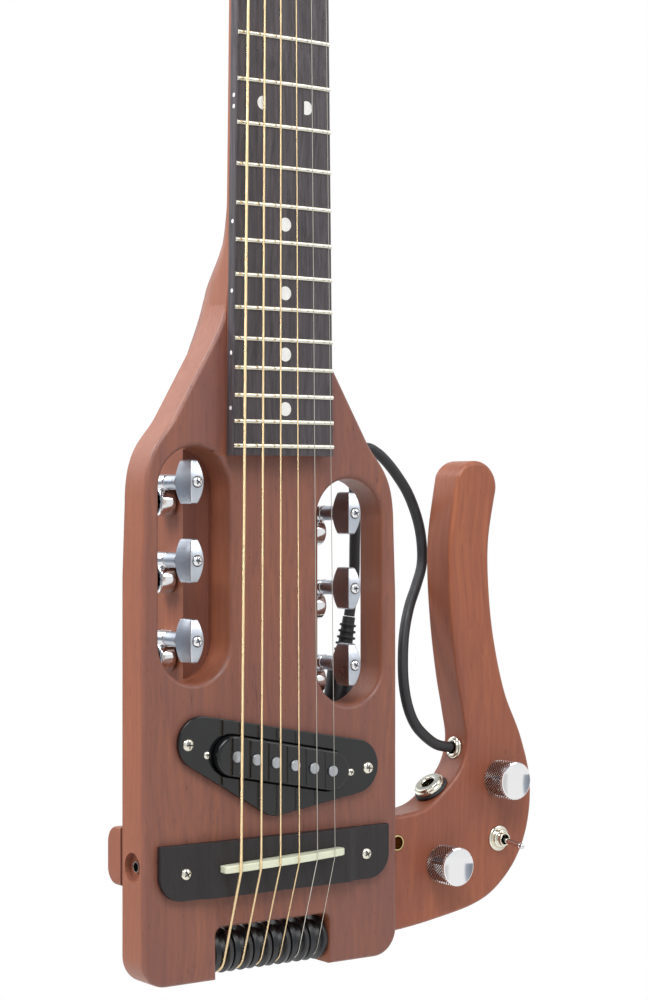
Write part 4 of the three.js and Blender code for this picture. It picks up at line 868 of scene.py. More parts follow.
class Palette:
    """The guitar's shared finishes, each made once."""

    def __init__(self) -> None:
        """Makes the materials."""
        # each wood's edge colour is painted light and shade on its sideways faces
        self.wood = WoodFinish(
            "stained_wood", "#995e44", "#784a3f", "#2e1813", roughness=0.46, coat=0.16, coat_roughness=0.32,
            mottled="#724843", mottling=0.55, edge="#a65f3a", side_shading_share=0.4,
        ).make()
        # the lap rest's copy of the stained wood, brighter and more orange: partly the rest's own tone, partly painted
        # light for the different light and sheen on it
        self.rest_wood = WoodFinish(
            "rest_wood", "#ad6440", "#8a4b35", "#2e1813", roughness=0.46, coat=0.16, coat_roughness=0.32,
            mottled="#834838", mottling=0.5, edge="#8a5038", side_shading_share=0.4,
        ).make()
        self.ebony = WoodFinish(
            "dark_board", "#554d52", "#2c272a", "#171416", 700.0, 0.04, 0.75, 0.46, 0.1, 0.4, 0.00008
        ).make()
        self.bridge_wood = WoodFinish(
            "dark_bridge", "#231d1f", "#181415", "#332b2d", 640.0, 0.05, 0.6, 0.5, 0.0, 0.4, 0.00008
        ).make()
        self.bone = MouldedFinish("bone", "#e6ead2", "#dcdfc4", 0.32, 0.2).make()
        self.shell = MouldedFinish("white_shell", "#f3f2ee", "#e3e4e2", 0.22, 0.6, 400.0).make()
        self.chrome = MetalFinish("chrome", "#e9e9ea", "#dedfe2", 0.07).make()
        self.satin = MetalFinish("satin_chrome", "#c6cbd3", "#b9bfc8", 0.34, 120.0, 0.5, 0.00002).make()
        self.nickel = MetalFinish("nickel", "#e8e4d6", "#d8d4c4", 0.14).make()
        self.steel = MetalFinish("steel", "#bfc2c6", "#a9adb2", 0.26, 70.0, 0.6).make()
        self.brass = MetalFinish("brass", "#dcc792", "#c3aa6c", 0.25).make()
        self.plain_string = MetalFinish("plain_string", "#d9d4c8", "#c3bfb4", 0.2).make()
        # the second colour is painted shade between the turns
        self.wound_string = WoundFinish("bronze_wire", "#f8deb0", "#a07a45").make()
        self.gloss_black = MouldedFinish(
            "gloss_black", "#0f1011", "#161719", 0.1, 0.0, 60.0, 0.2, 300.0, 0.00001
        ).make()
        self.plastic = MouldedFinish("black_plastic", "#1c1d1f", "#242528", 0.36, 0.1).make()
        self.rubber = MouldedFinish("black_rubber", "#232427", "#2e2f32", 0.5, 0.0, 200.0, 0.1, 1600.0).make()


# Geometry trees: what repeats by a rule


def apply_tree(tree: NodeTree, values: dict[str, object], source: Mesh | None = None) -> Mesh:
    """Runs a geometry tree and returns the plain mesh that it makes.

    Args:
        tree: the geometry tree.
        values: a value for each of the tree's named inputs.
        source: the mesh that goes in, if the tree takes one.

    Returns:
        The evaluated mesh.
    """
    holder = bpy.data.objects.new("holder", source or bpy.data.meshes.new("empty"))
    modifier = holder.modifiers.new("tree", "NODES")
    modifier.node_group = tree
    named = {item.name: item.identifier for item in tree.interface.items_tree if item.in_out == "INPUT"}
    for key, value in values.items():
        modifier[named[key]] = value
    bpy.context.scene.collection.objects.link(holder)
    mesh = evaluated(holder)
    bpy.data.objects.remove(holder)
    return mesh


def scatter_tree() -> NodeTree:
    """Builds the tree that puts a fitting on each point, turned and sized by the point's attributes."""
    inputs = {"Geometry": ["Points"], "Object": ["Fitting"], "Material": ["Finish"]}
    tree = Group("place_fittings", "GeometryNodeTree", inputs)
    fitting = tree.get("GeometryNodeObjectInfo", {"Object": tree.given["Fitting"]}, "Geometry")
    turn = tree.get("GeometryNodeInputNamedAttribute", {"Name": "turn"}, data_type="FLOAT_VECTOR")
    grow = tree.get("GeometryNodeInputNamedAttribute", {"Name": "grow"}, data_type="FLOAT")
    spin = tree.get("FunctionNodeEulerToRotation", {0: turn})
    values = {"Points": tree.given["Points"], "Instance": fitting, "Rotation": spin, "Scale": grow}
    return tree.shape(tree.get("GeometryNodeInstanceOnPoints", values))


def fret_tree() -> NodeTree:
    """Builds the tree that spaces the frets by equal semitones and bends them over the board's crown."""
    sizes = ["Semitones", "Scale Length", "Saddle", "Nut Half Width", "Taper", "End Inset", "Board Top"]
    sizes += ["Crown Radius", "Wire Width", "Wire Height"]
    tree = Group("frets", "GeometryNodeTree", {"Int": ["Count"], "Float": sizes, "Material": ["Finish"]})
    given = tree.given
    number = tree.get("GeometryNodeInputIndex") + 1.0
    length = given["Scale Length"] * tree.math("POWER", 2.0, number * -1.0 / given["Semitones"])
    height = given["Saddle"] + length
    spread = (given["Saddle"] + given["Scale Length"] - height) * given["Taper"]
    half = given["Nut Half Width"] + spread - given["End Inset"]
    place = tree.join(0.0, given["Board Top"], height)
    points = tree.get("GeometryNodePoints", {"Count": given["Count"], "Position": place})
    line = tree.get("GeometryNodeCurvePrimitiveLine", {"Start": (-1.0, 0.0, 0.0), "End": (1.0, 0.0, 0.0)})
    line = tree.get("GeometryNodeResampleCurve", {"Curve": line, "Count": 15})
    x = tree.split(tree.get("GeometryNodeInputPosition"))[0]
    ends = tree.math("MINIMUM", (1.0 - abs(x)) * 22.0, 1.0)
    line = tree.get("GeometryNodeSetCurveRadius", {"Curve": line, "Radius": tree.ramp(ends, 0.0, 1.0, 0.35, 1.0)})
    ring = tree.get("GeometryNodeCurvePrimitiveCircle", {"Resolution": 14, "Radius": 1.0})
    wire = tree.get("GeometryNodeCurveToMesh", {"Curve": line, "Profile Curve": ring, "Fill Caps": True})
    size = tree.join(1.0, given["Wire Height"], given["Wire Width"] / 2.0)
    wire = tree.get("GeometryNodeTransform", {"Geometry": wire, "Scale": size})
    values = {"Points": points, "Instance": wire, "Scale": tree.join(half, 1.0, 1.0)}
    frets = tree.get("GeometryNodeRealizeInstances", {0: tree.get("GeometryNodeInstanceOnPoints", values)})
    drop = x * x / (given["Crown Radius"] * 2.0)
    return tree.shape(
        tree.get("GeometryNodeSetPosition", {"Geometry": frets, "Offset": tree.join(0.0, drop, 0.0)})
    )


def knurl_tree() -> NodeTree:
    """Builds the tree that cuts crossed grooves round a grip along Y, which leaves rows of small pyramids."""
    inputs = {"Int": ["Columns", "Rows"], "Float": ["Radius", "Depth", "Front", "Back"], "Material": ["Finish"]}
    tree = Group("knurl", "GeometryNodeTree", inputs)
    given = tree.given
    around, along = given["Columns"] + 1.0, given["Rows"] + 1.0
    values = {"Size X": 1.0, "Size Y": 1.0, "Vertices X": around, "Vertices Y": along}
    grid = tree.get("GeometryNodeMeshGrid", values, "Mesh")
    u, v, _ = tree.split(tree.get("GeometryNodeInputPosition"))
    u, v = u + 0.5, v + 0.5
    column, row = tree.math("ROUND", u * given["Columns"]), tree.math("ROUND", v * given["Rows"])
    odd = tree.math("MODULO", column + row, 2.0)
    radius = given["Radius"] - odd * given["Depth"]
    angle = u * (2 * math.pi)
    x, z = radius * tree.math("COSINE", angle), radius * tree.math("SINE", angle)
    place = tree.join(x, tree.ramp(v, 0.0, 1.0, given["Front"], given["Back"]), z)
    skin = tree.get("GeometryNodeSetPosition", {"Geometry": grid, "Position": place})
    closed = tree.get("GeometryNodeMergeByDistance", {"Geometry": skin, "Distance": 0.01})
    return tree.shape(tree.get("GeometryNodeTriangulate", {"Mesh": closed}, quad_method="SHORTEST_DIAGONAL"))


@dataclass
class Spot:
    """A place for a fitting, the way that it faces, its turn about that way and its size."""

    at: Point3
    facing: Point3 = (0.0, -1.0, 0.0)
    spin: float = 0.0
    grow: float = 1.0


class Fittings:
    """Small fittings, each drawn once round its own axis along Z, and the tree that places them."""

    def __init__(self, finishes: Palette) -> None:
        """Builds the placing tree and the fittings' shapes."""
        self.finishes = finishes
        self.tree = scatter_tree()
        self.screw = self._holder(self._pan_head())
        # painted shade: a dark piece that stands in for the shadow in each screw's recess and round its head
        self.shade = self._holder(self._shade_pieces())
        self.dot = self._holder(turned_mesh([(0, -0.5), (0.5, -0.5), (0.5, 0.0), (0, 0.0)], (0, 0, 0), (0, 0, 1), 40))
        pole = soften([(0, -1.2), (0.5, -1.2), (0.5, 0.2), (0, 0.2)], 0.06)
        self.pole = self._holder(turned_mesh(pole, (0, 0, 0), (0, 0, 1), 32))

    @staticmethod
    def _holder(mesh: Mesh) -> Object:
        """Wraps a fitting's mesh in an object that never renders."""
        smooth(mesh, 35.0)
        return bpy.data.objects.new("fitting", mesh)

    @staticmethod
    def _pan_head() -> Mesh:
        """Draws a domed screw head 1 mm across with a crossed recess, its rim in the plane of Z = 0."""
        profile = [(0, -0.25), (0.36, -0.25), (0.5, -0.02), (0.5, 0.05), (0.42, 0.17), (0.27, 0.25), (0, 0.3)]
        head = Solid(turned_mesh(soften(profile, 0.05), (0, 0, 0), (0, 0, 1), 36))
        wing = [(-0.055, 0.4), (-0.045, -0.02), (0.045, -0.02), (0.055, 0.4)]
        for turn in (0.0, math.pi / 2):
            rings = []
            for reach in (-0.3, -0.24, 0.24, 0.3):
                low = 0.16 if abs(reach) > 0.25 else 0.0
                rings.append([Vector((x, reach, max(z, low))) for x, z in wing])
            blade = loft_mesh(rings)
            blade.transform(Matrix.Rotation(turn, 4, "Z"))
            head.cut(blade)
        return head.mesh

    @staticmethod
    def _shade_pieces() -> Mesh:
        """Draws dark pieces of painted shade: one in the bottom of the crossed recess and a ring in the gap round the
        head.
        """
        long, half, low, high = 0.27, 0.052, -0.03, 0.09
        bars = [block_mesh((-x, -y, low), (x, y, high)) for x, y in ((long, half), (half, long))]
        ring = [(0.47, -0.05), (0.555, -0.05), (0.555, 0.015), (0.47, 0.015), (0.47, -0.05)]
        return Solid(bars[0]).join(bars[1], turned_mesh(ring, (0, 0, 0), (0, 0, 1), 36)).mesh

    def screws(self, name: str, spots: Sequence[Spot], body: Body | str, metal: Material) -> None:
        """Sets screws on the spots, with their dark pieces of painted shade."""
        dark = self.finishes.plastic
        dress(f"{name}_heads", self.place(self.screw, spots, metal), body, metal, crease=50)
        # painted shade: black pieces in each recess and round each head
        dress(f"{name}_recesses", self.place(self.shade, spots, dark), body, dark)

    def place(self, fitting: Object, spots: Sequence[Spot], material: Material) -> Mesh:
        """Puts a fitting on every spot.

        Args:
            fitting: one of this class's fittings.
            spots: where they go.
            material: their finish.

        Returns:
            One mesh in millimetres with all of them.
        """
        mesh = bpy.data.meshes.new("spots")
        mesh.from_pydata([s.at for s in spots], [], [])
        turns = []
        for s in spots:
            aim = Vector((0, 0, 1)).rotation_difference(Vector(s.facing).normalized())
            turns += list((aim @ Quaternion((0, 0, 1), s.spin)).to_euler())
        mesh.attributes.new("turn", "FLOAT_VECTOR", "POINT").data.foreach_set("vector", turns)
        mesh.attributes.new("grow", "FLOAT", "POINT").data.foreach_set("value", [s.grow for s in spots])
        return apply_tree(self.tree, {"Fitting": fitting, "Finish": material}, mesh)


# Places that several sub-assemblies share


@dataclass(frozen=True)
class Layout:
    """The guitar's main lines in millimetres: X to the treble side, Y inwards, Z up."""

    scale_length: float = 628.65
    saddle_z: float = 52.1
    semitones: int = 12
    fret_count: int = 22
    head_end: float = 711.2
    board_plane: float = -1.8
    board_top: float = -7.8
    board_end: float = 224.41
    nut_half: float = 20.75
    end_half: float = 26.5
    crown_radius: float = 305.0
    glue: float = 0.1
    seat: float = 0.12
    pitch: float = 9.9
    nut_spread: float = 35.0
    radii: tuple[float, ...] = (0.675, 0.535, 0.41, 0.305, 0.205, 0.15)
    saddle_height: float = 10.9
    saddle_slant: float = 2.4 / 62.6
    compensation: float = 2.5
    plate: float = 18.6
    block_half: float = 35.6
    post_y: float = 29.0
    worm_x: float = 41.3
    centre_distance: float = 8.5
    jack: Point3 = (54.7, 32.0, 104.0)
    jack_tilt: float = 10.0
    socket: Point2 = (8.8, 50.7)
    side_x: float = 66.7
    roller_axis: Point2 = (10.8, 10.6)
    roller_groove: float = 7.8
    post_radius: float = 3.0
    nut_length: float = 4.8
    nut_rise: float = 1.5
    nut_groove: float = 0.35
    anchor_z: Point2 = (694.0, 704.0)
    anchor_bore: float = 2.6
    slot_z: float = 177.6
    slot_length: float = 100.8
    worms: Point3 = (-0.3194, 0.0188, 0.3512)
    treble_drop: float = 13.6
    pickup: Point2 = (0.7, 91.1)
    mortise_y: Point2 = (23.0, 27.6)
    mortise_z: Point2 = (45.7, 60.3)
    outside: Point2 = (-6.0, 51.0)

    @property
    def jack_aim(self) -> Vector:
        """Returns the way the lead's plug points, out of the jack."""
        lean = math.radians(self.jack_tilt)
        return Vector((math.sin(lean), 0, math.cos(lean)))

    @property
    def nut_z(self) -> float:
        """Returns the height of the nut's face."""
        return self.saddle_z + self.scale_length

    @property
    def saddle_mid(self) -> float:
        """Returns the height of the saddle's middle, past the scale's end for the strings' stiffness."""
        return self.saddle_z - self.compensation

    @property
    def taper(self) -> float:
        """Returns how much the board's half width grows for each millimetre down."""
        return (self.end_half - self.nut_half) / (self.nut_z - self.board_end)

    def half(self, z: float) -> float:
        """Returns the board's half width at a height."""
        return self.nut_half + (self.nut_z - z) * self.taper

    def crown(self, x: float) -> float:
        """Returns how far the crowned board has fallen at a distance from its middle."""
        return x * x / (2 * self.crown_radius)

    def fret_z(self, n: int) -> float:
        """Returns the height of a fret, or of the nut for 0."""
        return self.saddle_z + self.scale_length * 2 ** (-n / self.semitones)

    def string_x(self, i: int) -> float:
        """Returns a string's place across the saddle."""
        return (i - (len(self.radii) - 1) / 2) * self.pitch

    def nut_x(self, i: int) -> float:
        """Returns a string's place across the nut."""
        return (i / (len(self.radii) - 1) - 0.5) * self.nut_spread

    @staticmethod
    def side(i: int) -> Side:
        """Returns the side of a string's tuner."""
        return Side.BASS if i < 3 else Side.TREBLE

    @staticmethod
    def rank(i: int) -> int:
        """Returns a string's place on its side, counted from the outermost."""
        return min(i, 5 - i)

    def worm_z(self, i: int) -> float:
        """Returns the height of a string's worm, the outermost string's being the lowest."""
        height = self.slot_z + self.worms[self.rank(i)] * self.slot_length
        return height - (self.treble_drop if self.side(i) is Side.TREBLE else 0.0)

    def post_z(self, i: int) -> float:
        """Returns the height of a string's post."""
        return self.worm_z(i) - self.centre_distance


LAY = Layout()


@dataclass
class Studio:
    """The camera, the lamps, the white room and the pale floor, in metres."""

    eye: Point3 = (-0.539, -0.7945, 0.2053)
    azimuth: float = -35.42
    lens: float = 79.46
    aim: Point3 = (0.0, 0.0, 0.25)
    floor_radius: float = 1.6
    floor_z: float = -0.3
    lamps: tuple[tuple[str, Point3, float, float], ...] = (
        ("key", (-0.4, -0.85, 1.35), 0.8, 16.0),
        ("left", (-1.1, 0.3, 1.3), 0.8, 22.0),
        ("right", (1.3, -1.5, 1.4), 1.0, 9.0),
        ("back", (-0.5, 1.7, 1.0), 1.2, 7.0),
    )

    def camera(self) -> None:
        """Places the camera where the photograph was taken from."""
        data = bpy.data.cameras.new("camera")
        data.lens = self.lens
        data.sensor_width = 36.0
        data.sensor_fit = "AUTO"
        data.clip_end = 60.0
        eye = linked("camera", data)
        eye.location = self.eye
        eye.rotation_euler = (math.radians(90), 0.0, math.radians(self.azimuth))
        bpy.context.scene.camera = eye

    def lamp(self, name: str, at: Point3, size: float, power: float) -> None:
        """Adds a square soft lamp that looks at the guitar's middle."""
        data = bpy.data.lights.new(name, "AREA")
        data.size = size
        data.energy = power
        lamp = linked(name, data)
        lamp.location = at
        lamp.rotation_euler = (Vector(self.aim) - Vector(at)).to_track_quat("-Z", "Y").to_euler()

    def room(self) -> None:
        """Makes the room white to the camera, with soft grey bands that polished metal picks up."""
        world = bpy.data.worlds.new("room")
        bpy.context.scene.world = world
        world.use_nodes = True
        world.node_tree.nodes.clear()
        room = Graph(world.node_tree)
        path = room.read(room.node("ShaderNodeLightPath"))
        x, y, z = room.split(room.get("ShaderNodeTexCoord", output="Generated"))
        low = room.ramp(z, -0.6, -0.22, 0.42, 1.0)
        turn = room.math("ARCTAN2", x, y)
        shade = room.ramp(room.math("COSINE", turn + 0.85), 0.25, 0.8) * low
        ahead = room.ramp(room.math("COSINE", turn - 2.98), 0.945, 0.965) * 0.95
        bands = room.ramp(room.math("SINE", turn * 7.0), 0.3, 0.8, 1.0, 0.72)
        mirror = room.math("MAXIMUM", path["Is Glossy Ray"], path["Is Transmission Ray"])
        level = room.get("ShaderNodeMix", {0: mirror, 2: 0.34, 3: low * bands}, data_type="FLOAT")
        level = room.get("ShaderNodeMix", {0: path["Is Camera Ray"], 2: level, 3: 1.0}, data_type="FLOAT")
        side = room.math("MAXIMUM", shade, ahead) * mirror * (1.0 - path["Is Camera Ray"])
        colour = room.mix(side, WHITE, (0.34, 0.38, 0.44, 1.0))
        light = room.get("ShaderNodeBackground", {"Color": colour, "Strength": level})
        room.node("ShaderNodeOutputWorld", {0: light})

    def floor(self) -> None:
        """Lays a wide pale floor under the guitar that fades into the white room."""
        mesh = bpy.data.meshes.new("floor")
        turns = [math.radians(a) for a in range(0, 360, 6)]
        ring = [(self.floor_radius * math.cos(a), self.floor_radius * math.sin(a), self.floor_z) for a in turns]
        mesh.from_pydata(ring, [], [tuple(range(len(ring)))])
        on = Surface("pale_floor")
        place = on.get("ShaderNodeVectorMath", {0: on.place}, "Value", operation="LENGTH")
        path = on.read(on.node("ShaderNodeLightPath"))
        seen = on.math("MAXIMUM", path["Is Camera Ray"], path["Is Glossy Ray"])
        share = on.ramp(place, 0.45, 1.2) * seen
        glow = on.get("ShaderNodeEmission", {"Color": WHITE, "Strength": 1.0})
        mixed = on.get("ShaderNodeMixShader", {0: share, 1: Value(on, on.shader.outputs[0]), 2: glow})
        on.feed(on.tree.nodes["Material Output"], {0: mixed})
        mesh.materials.append(on.done({"Base Color": (0.86, 0.86, 0.86, 1.0), "Roughness": 0.8}))
        floor = linked("floor", mesh)

    def build(self) -> None:
        """Sets up the whole studio."""
        self.camera()
        self.room()
        self.floor()
        for lamp in self.lamps:
            self.lamp(*lamp)
        bpy.context.scene.view_settings.view_transform = "Standard"


@dataclass
class Lead:
    """The lead from the body's jack to the lap rest: plug, ribbed strain relief and cable."""

    finishes: Palette
    jack_nut: float = 2.4
    gap: float = 0.3
    plug_radius: float = 6.5
    plug_length: float = 26.0
    tip_radius: float = 3.1
    tip_length: float = 22.0
    relief_length: float = 19.0
    relief_radius: float = 3.6
    relief_neck: float = 2.9
    ribs: int = 6
    rib_radius: float = 5.0
    rib_top: float = 3.8
    rib_pitch: float = 2.9
    rib_width: float = 1.1
    cable_radius: float = 2.5
    cable_length: float = 256.3
    route: tuple[Point3, ...] = (
        (63.1, 32, 151.6), (64.1, 32, 157.5), (65.2, 32, 163.6), (66.2, 32.2, 172.4), (66.7, 32.6, 183),
        (67.2, 33, 195), (67.3, 33.6, 207), (67.6, 34.2, 218), (70.2, 34.8, 226.5), (75.4, 35.1, 229.6),
        (81.3, 35.2, 227.6), (87, 35.2, 223.4), (93.8, 35.2, 216.4), (100.3, 35.3, 207.8), (105.7, 35.3, 196),
        (108.2, 35.3, 185), (108, 35, 174.5), (103.8, 33.6, 165.2), (97.6, 31, 155.4), (92.4, 28, 144.2),
        (89.4, 25.4, 132.4), (87.9, 22.8, 119.6), (89, 21, 108.8), (93, 20.6, 100.4), (99.3, 20.4, 94.2),
        (106, 20.4, 90.2), (113.7, 20.4, 88.6),
    )

    def line(self) -> list[Vector]:
        """Returns the cable's centre line, smooth through its route, in millimetres."""
        points = [Vector(p) for p in self.route]
        line = points[:1]
        for i in range(len(points) - 1):
            first, last = points[i], points[i + 1]
            reach = (last - first).length / 3
            leave = (last - points[max(i - 1, 0)]).normalized() * reach
            arrive = (points[min(i + 2, len(points) - 1)] - first).normalized() * reach
            line += interpolate_bezier(first, first + leave, last - arrive, last, 9)[1:]
        return line

    def cable(self) -> Object:
        """Draws the cable as a tube along its line."""
        line = self.line()
        mesh = tube_mesh(line, [self.cable_radius] * len(line), 20)
        mesh.transform(Matrix.Scale(MM, 4))
        mesh.materials.append(self.finishes.rubber)
        cable = linked("lead_cable_line", mesh)
        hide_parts("lead_cable")
        return cable

    def plug(self) -> Object:
        """Draws the plug with its tip, its sleeve and a grip with one groove."""
        start = Vector(LAY.jack) + LAY.jack_aim * (self.jack_nut + self.gap)
        tip, sleeve = self.tip_radius, self.plug_radius
        profile = [(0, -self.tip_length), (tip / 2, -self.tip_length), (tip, tip - self.tip_length)]
        profile += [(tip - 0.8, tip + 2.0 - self.tip_length), (tip, tip + 3.4 - self.tip_length), (tip, 0), (sleeve, 0)]
        profile += [(sleeve, 3.0), (sleeve - 0.4, 3.4), (sleeve, 3.8), (sleeve, self.plug_length - tip)]
        profile += [(sleeve - tip / 2, self.plug_length), (0, self.plug_length)]
        mesh = turned_mesh(soften(profile, 0.5), start, LAY.jack_aim)
        return dress("lead_plug_body", mesh, Body.MAIN, self.finishes.plastic, ["lead_plug"])

    def relief(self) -> Object:
        """Draws the tapered strain relief with its ribs."""
        start = Vector(LAY.jack) + LAY.jack_aim * (self.jack_nut + self.plug_length + 2 * self.gap)
        profile: list[Point2] = [(0, 0)]
        for k in range(self.ribs):
            share = k / (self.ribs - 1)
            rib = self.rib_radius + (self.rib_top - self.rib_radius) * share
            core = self.relief_radius + (self.relief_neck - self.relief_radius) * share
            low = k * self.rib_pitch
            high = low + self.rib_width
            profile += [(rib, low), (rib, high), (core, high), (core, low + self.rib_pitch)]
        profile.append((0, self.relief_length - 0.05))
        profile[-2] = (profile[-2][0], self.relief_length - 0.05)
        mesh = turned_mesh(soften(profile, 0.3), start, LAY.jack_aim, 40)
        return dress("lead_relief", mesh, Body.MAIN, self.finishes.rubber, ["strain_relief"])

    def build(self) -> None:
        cable, plug, relief = self.cable(), self.plug(), self.relief()
        [tuple(p * MM) for p in self.line()]
        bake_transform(cable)
        log.info("lead: %.1f mm of cable", self.cable_length)


def extruded(
    loops: Sequence[Sequence[Point2]],
    low: float,
    high: float,
    along: str,
    radii: Sequence[float] = (0.0,),
    steps: int = 4,
) -> Mesh:
    """Extrudes an outline along X or Z.

    Args:
        loops: for X, points in Y and Z; for Z, points in X and Y.
        low: where it starts.
        high: where it ends.
        along: the axis, X or Z.
        radii: the roundover of each loop.
        steps: faces across a roundover.

    Returns:
        A closed mesh in millimetres.
    """
    mesh = plate_mesh(loops, low, high, radii, steps)
    rows = {"X": ((0, 1, 0), (1, 0, 0), (0, 0, 1)), "Z": ((1, 0, 0), (0, 0, 1), (0, 1, 0))}[along]
    mesh.transform(Matrix(rows).to_4x4())
    face_out(mesh)
    return mesh


def rod(start: Sequence[float], end: Sequence[float], r: float, sides: int = 32) -> Mesh:
    """Makes a cylinder between two points."""
    span = Vector(end) - Vector(start)
    return turned_mesh([(0, 0), (r, 0), (r, span.length), (0, span.length)], start, span, sides)


@dataclass
class Woodwork:
    """The body plate, the block and neck behind it, the cheek and the rib."""

    finishes: Palette
    waist: float = 65.6
    corner: float = 12.0
    roundover: float = 2.2
    slot_roundover: float = 2.4
    straight_top: float = 172.0
    side_top: float = 204.0
    flank_outer: Point2 = (50.5, 241.2)
    flank_inner: Point2 = (35.8, 266.2)
    corner_in: float = 11.9
    corner_up: float = 25.0
    tip: Point2 = (24.2, 298.0)
    tip_in: float = 11.0
    tip_down: float = 13.0
    drop: float = 10.0
    slot_inner: float = 22.75
    slot_outer: float = 58.5
    slot_drop: float = 13.2
    notch_half: float = 29.9
    notch_height: float = 22.3
    notch_corner: float = 3.5
    block_depth: float = 45.0
    heel_start: float = 226.0
    neck_start: float = 366.0
    neck_inset: float = 0.8
    shelf_z: float = 112.0
    shelf_y: float = 20.6
    neck_depth: float = 14.2
    cavity: Point3 = (72.4, 19.8, 12.5)
    scoop: tuple[Point2, ...] = ((20.6, 281.0), (18.6, 281.0), (16.9, 290.0), (15.0, 299.0), (20.6, 299.0))
    recess_end: float = -63.7
    recess_radius: float = 6.2
    socket_end: float = -51.7
    socket_bore: float = 2.62
    channel_half: float = 27.5
    channel_front: float = 16.5
    channel_top: float = 214.0
    channel_corner: float = 2.0
    rod_half: float = 3.1
    rod_front: float = 9.0
    rod_low: float = 262.0
    jack_bore: float = 5.35
    jack_depth: float = 26.3
    post_bore: float = 3.3
    heel: tuple[tuple[float, float, float, float], ...] = (
        (0, 1, 1, 30), (0.081, 0.93, 0.93, 14), (0.164, 0.78, 0.8, 10), (0.245, 0.5, 0.72, 8),
        (0.327, 0.22, 0.65, 7), (0.407, 0.06, 0.53, 5.9), (0.471, 0.02, 0.43, 5), (0.514, 0, 0.37, 4.4),
        (0.557, 0, 0.237, 3.8), (0.6, 0, 0.1, 3.1), (0.643, 0, 0.012, 2.4), (0.693, 0, 0, 1.95),
        (0.757, 0, 0, 1.62), (0.85, 0, 0, 1.45), (1, 0, 0, 1.4),
    )

    def shoulder(self, drop: float) -> list[Point2]:
        """Returns the treble side's outline from the corner arc's end to the tip, lowered by a drop."""
        outer, inner = Vector(self.flank_outer), Vector(self.flank_inner)
        flank = (outer - inner).normalized()
        side = (self.waist, self.side_top)
        out = [(LAY.side_x, self.straight_top), side]
        pull = outer + flank * self.corner_in
        out += bezier(side, (self.waist, self.side_top + self.corner_up), tuple(pull), tuple(outer), 28)
        pull = inner - flank * self.tip_in
        out.append(tuple(inner))
        out += bezier(tuple(inner), tuple(pull), (self.tip[0], self.tip[1] - self.tip_down), self.tip, 24)
        return [(x, z - drop) for x, z in out]

    def outline(self) -> list[Point2]:
        """Returns the body's outline with the rollers' notch in its bottom edge."""
        n, h, r = self.notch_half, self.notch_height, self.notch_corner
        c = LAY.side_x - self.corner
        out = [(-c, 0.0), (-n, 0.0), *arc(r - n, h - r, r, math.pi, math.pi / 2, 6)]
        out += [*arc(n - r, h - r, r, math.pi / 2, 0.0, 6), (n, 0.0)]
        out += arc(c, self.corner, self.corner, -math.pi / 2, 0.0, 14)
        out += self.shoulder(self.drop)
        out += [(-x, z) for x, z in reversed(self.shoulder(0.0))]
        return out + arc(-c, self.corner, self.corner, math.pi, 1.5 * math.pi, 14)

    def slot(self, side: Side, margin: float = 0.0) -> list[Point2]:
        """Returns the outline of a tuner slot."""
        r = (self.slot_outer - self.slot_inner) / 2
        x = side.value * (self.slot_outer + self.slot_inner) / 2
        z = LAY.slot_z - (self.slot_drop if side is Side.TREBLE else 0.0)
        run = LAY.slot_length / 2 - r
        return belt([(x, z - run, r + margin), (x, z + run, r + margin)], 5.0)

    def slot_room(self) -> list[Mesh]:
        """Returns cutters for the slots as deep as the plate."""
        return [plate_mesh([self.slot(side, 0.02)], -6.0, LAY.plate, (0.0,)) for side in Side]

    def plate(self) -> Solid:
        """Makes the body plate with its slots, its pickup cavity and the side socket's recess."""
        loops = [self.outline(), self.slot(Side.BASS), self.slot(Side.TREBLE)]
        solid = Solid(plate_mesh(loops, 0.0, LAY.plate, (self.roundover, self.slot_roundover), 6))
        length, width, depth = self.cavity
        solid.cut(plate_mesh([oblong(*LAY.pickup, length, width, PickupSet.slope())], LAY.outside[0], depth))
        solid.cut(extruded([self.scoop], -60.0, 60.0, "X"))
        for end, r, sides in ((self.recess_end, self.recess_radius, 48), (self.socket_end, self.socket_bore, 32)):
            solid.cut(rod((-70.0, *LAY.socket), (end, *LAY.socket), r, sides))
        return solid

    def section(self, z: float, half: float, depth: float, square: float) -> Ring:
        """Returns half of a superellipse behind the front plane."""
        out = []
        for k in range(49):
            a = math.pi * k / 48
            across = abs(math.cos(a)) ** (2 / square) * math.copysign(1, math.cos(a))
            out.append(Vector((half * across, depth * math.sin(a) ** (2 / square), z)))
        return out

    def beam(self) -> Solid:
        """Makes the block, heel and neck, cut back behind the plate, with the pad for the board."""
        depth, half = self.block_depth, LAY.block_half
        rings: list[Ring] = []
        for up, wide, deep, square in [self.heel[0], *self._even_heel()]:
            z = self.heel_start + up * (self.neck_start - self.heel_start)
            slim, shallow = LAY.half(z) - self.neck_inset, self.neck_depth
            rings.append(self.section(z, slim + wide * (half - slim), shallow + deep * (depth - shallow), square))
        for z in (450.0, 580.0, LAY.head_end):
            rings.append(self.section(z, LAY.half(z) - self.neck_inset, self.neck_depth, self.heel[-1][3]))
        low = rounded(-half, half, 0.0, depth, 3.0)
        solid = Solid(loft_mesh(rings)).join(extruded([low], 0.0, self.heel_start, "Z"))
        end, head = LAY.board_end, LAY.head_end
        wide, slim = LAY.half(end) - self.neck_inset, LAY.half(head) - self.neck_inset
        pad = [(-wide, end), (wide, end), (slim, head), (-slim, head)]
        front = block_mesh((-80, -6, -6), (80, LAY.plate - 1.0, end))
        solid.cut(front, *self.slot_room()).join(plate_mesh([pad], LAY.board_plane, 1.0))
        return solid

    def _even_heel(self) -> list[tuple[float, float, float, float]]:
        """Returns the heel's stations with smooth steps between the given ones."""
        ups = [a[0] + (b[0] - a[0]) * k / 5 for a, b in zip(self.heel, self.heel[1:]) for k in range(1, 6)]
        least = (0.0, 0.0, self.heel[-1][3])
        rows = spline([station[1:] for station in self.heel], 5)
        return [(up, *(max(value, low) for value, low in zip(row, least))) for up, row in zip(ups, rows)]

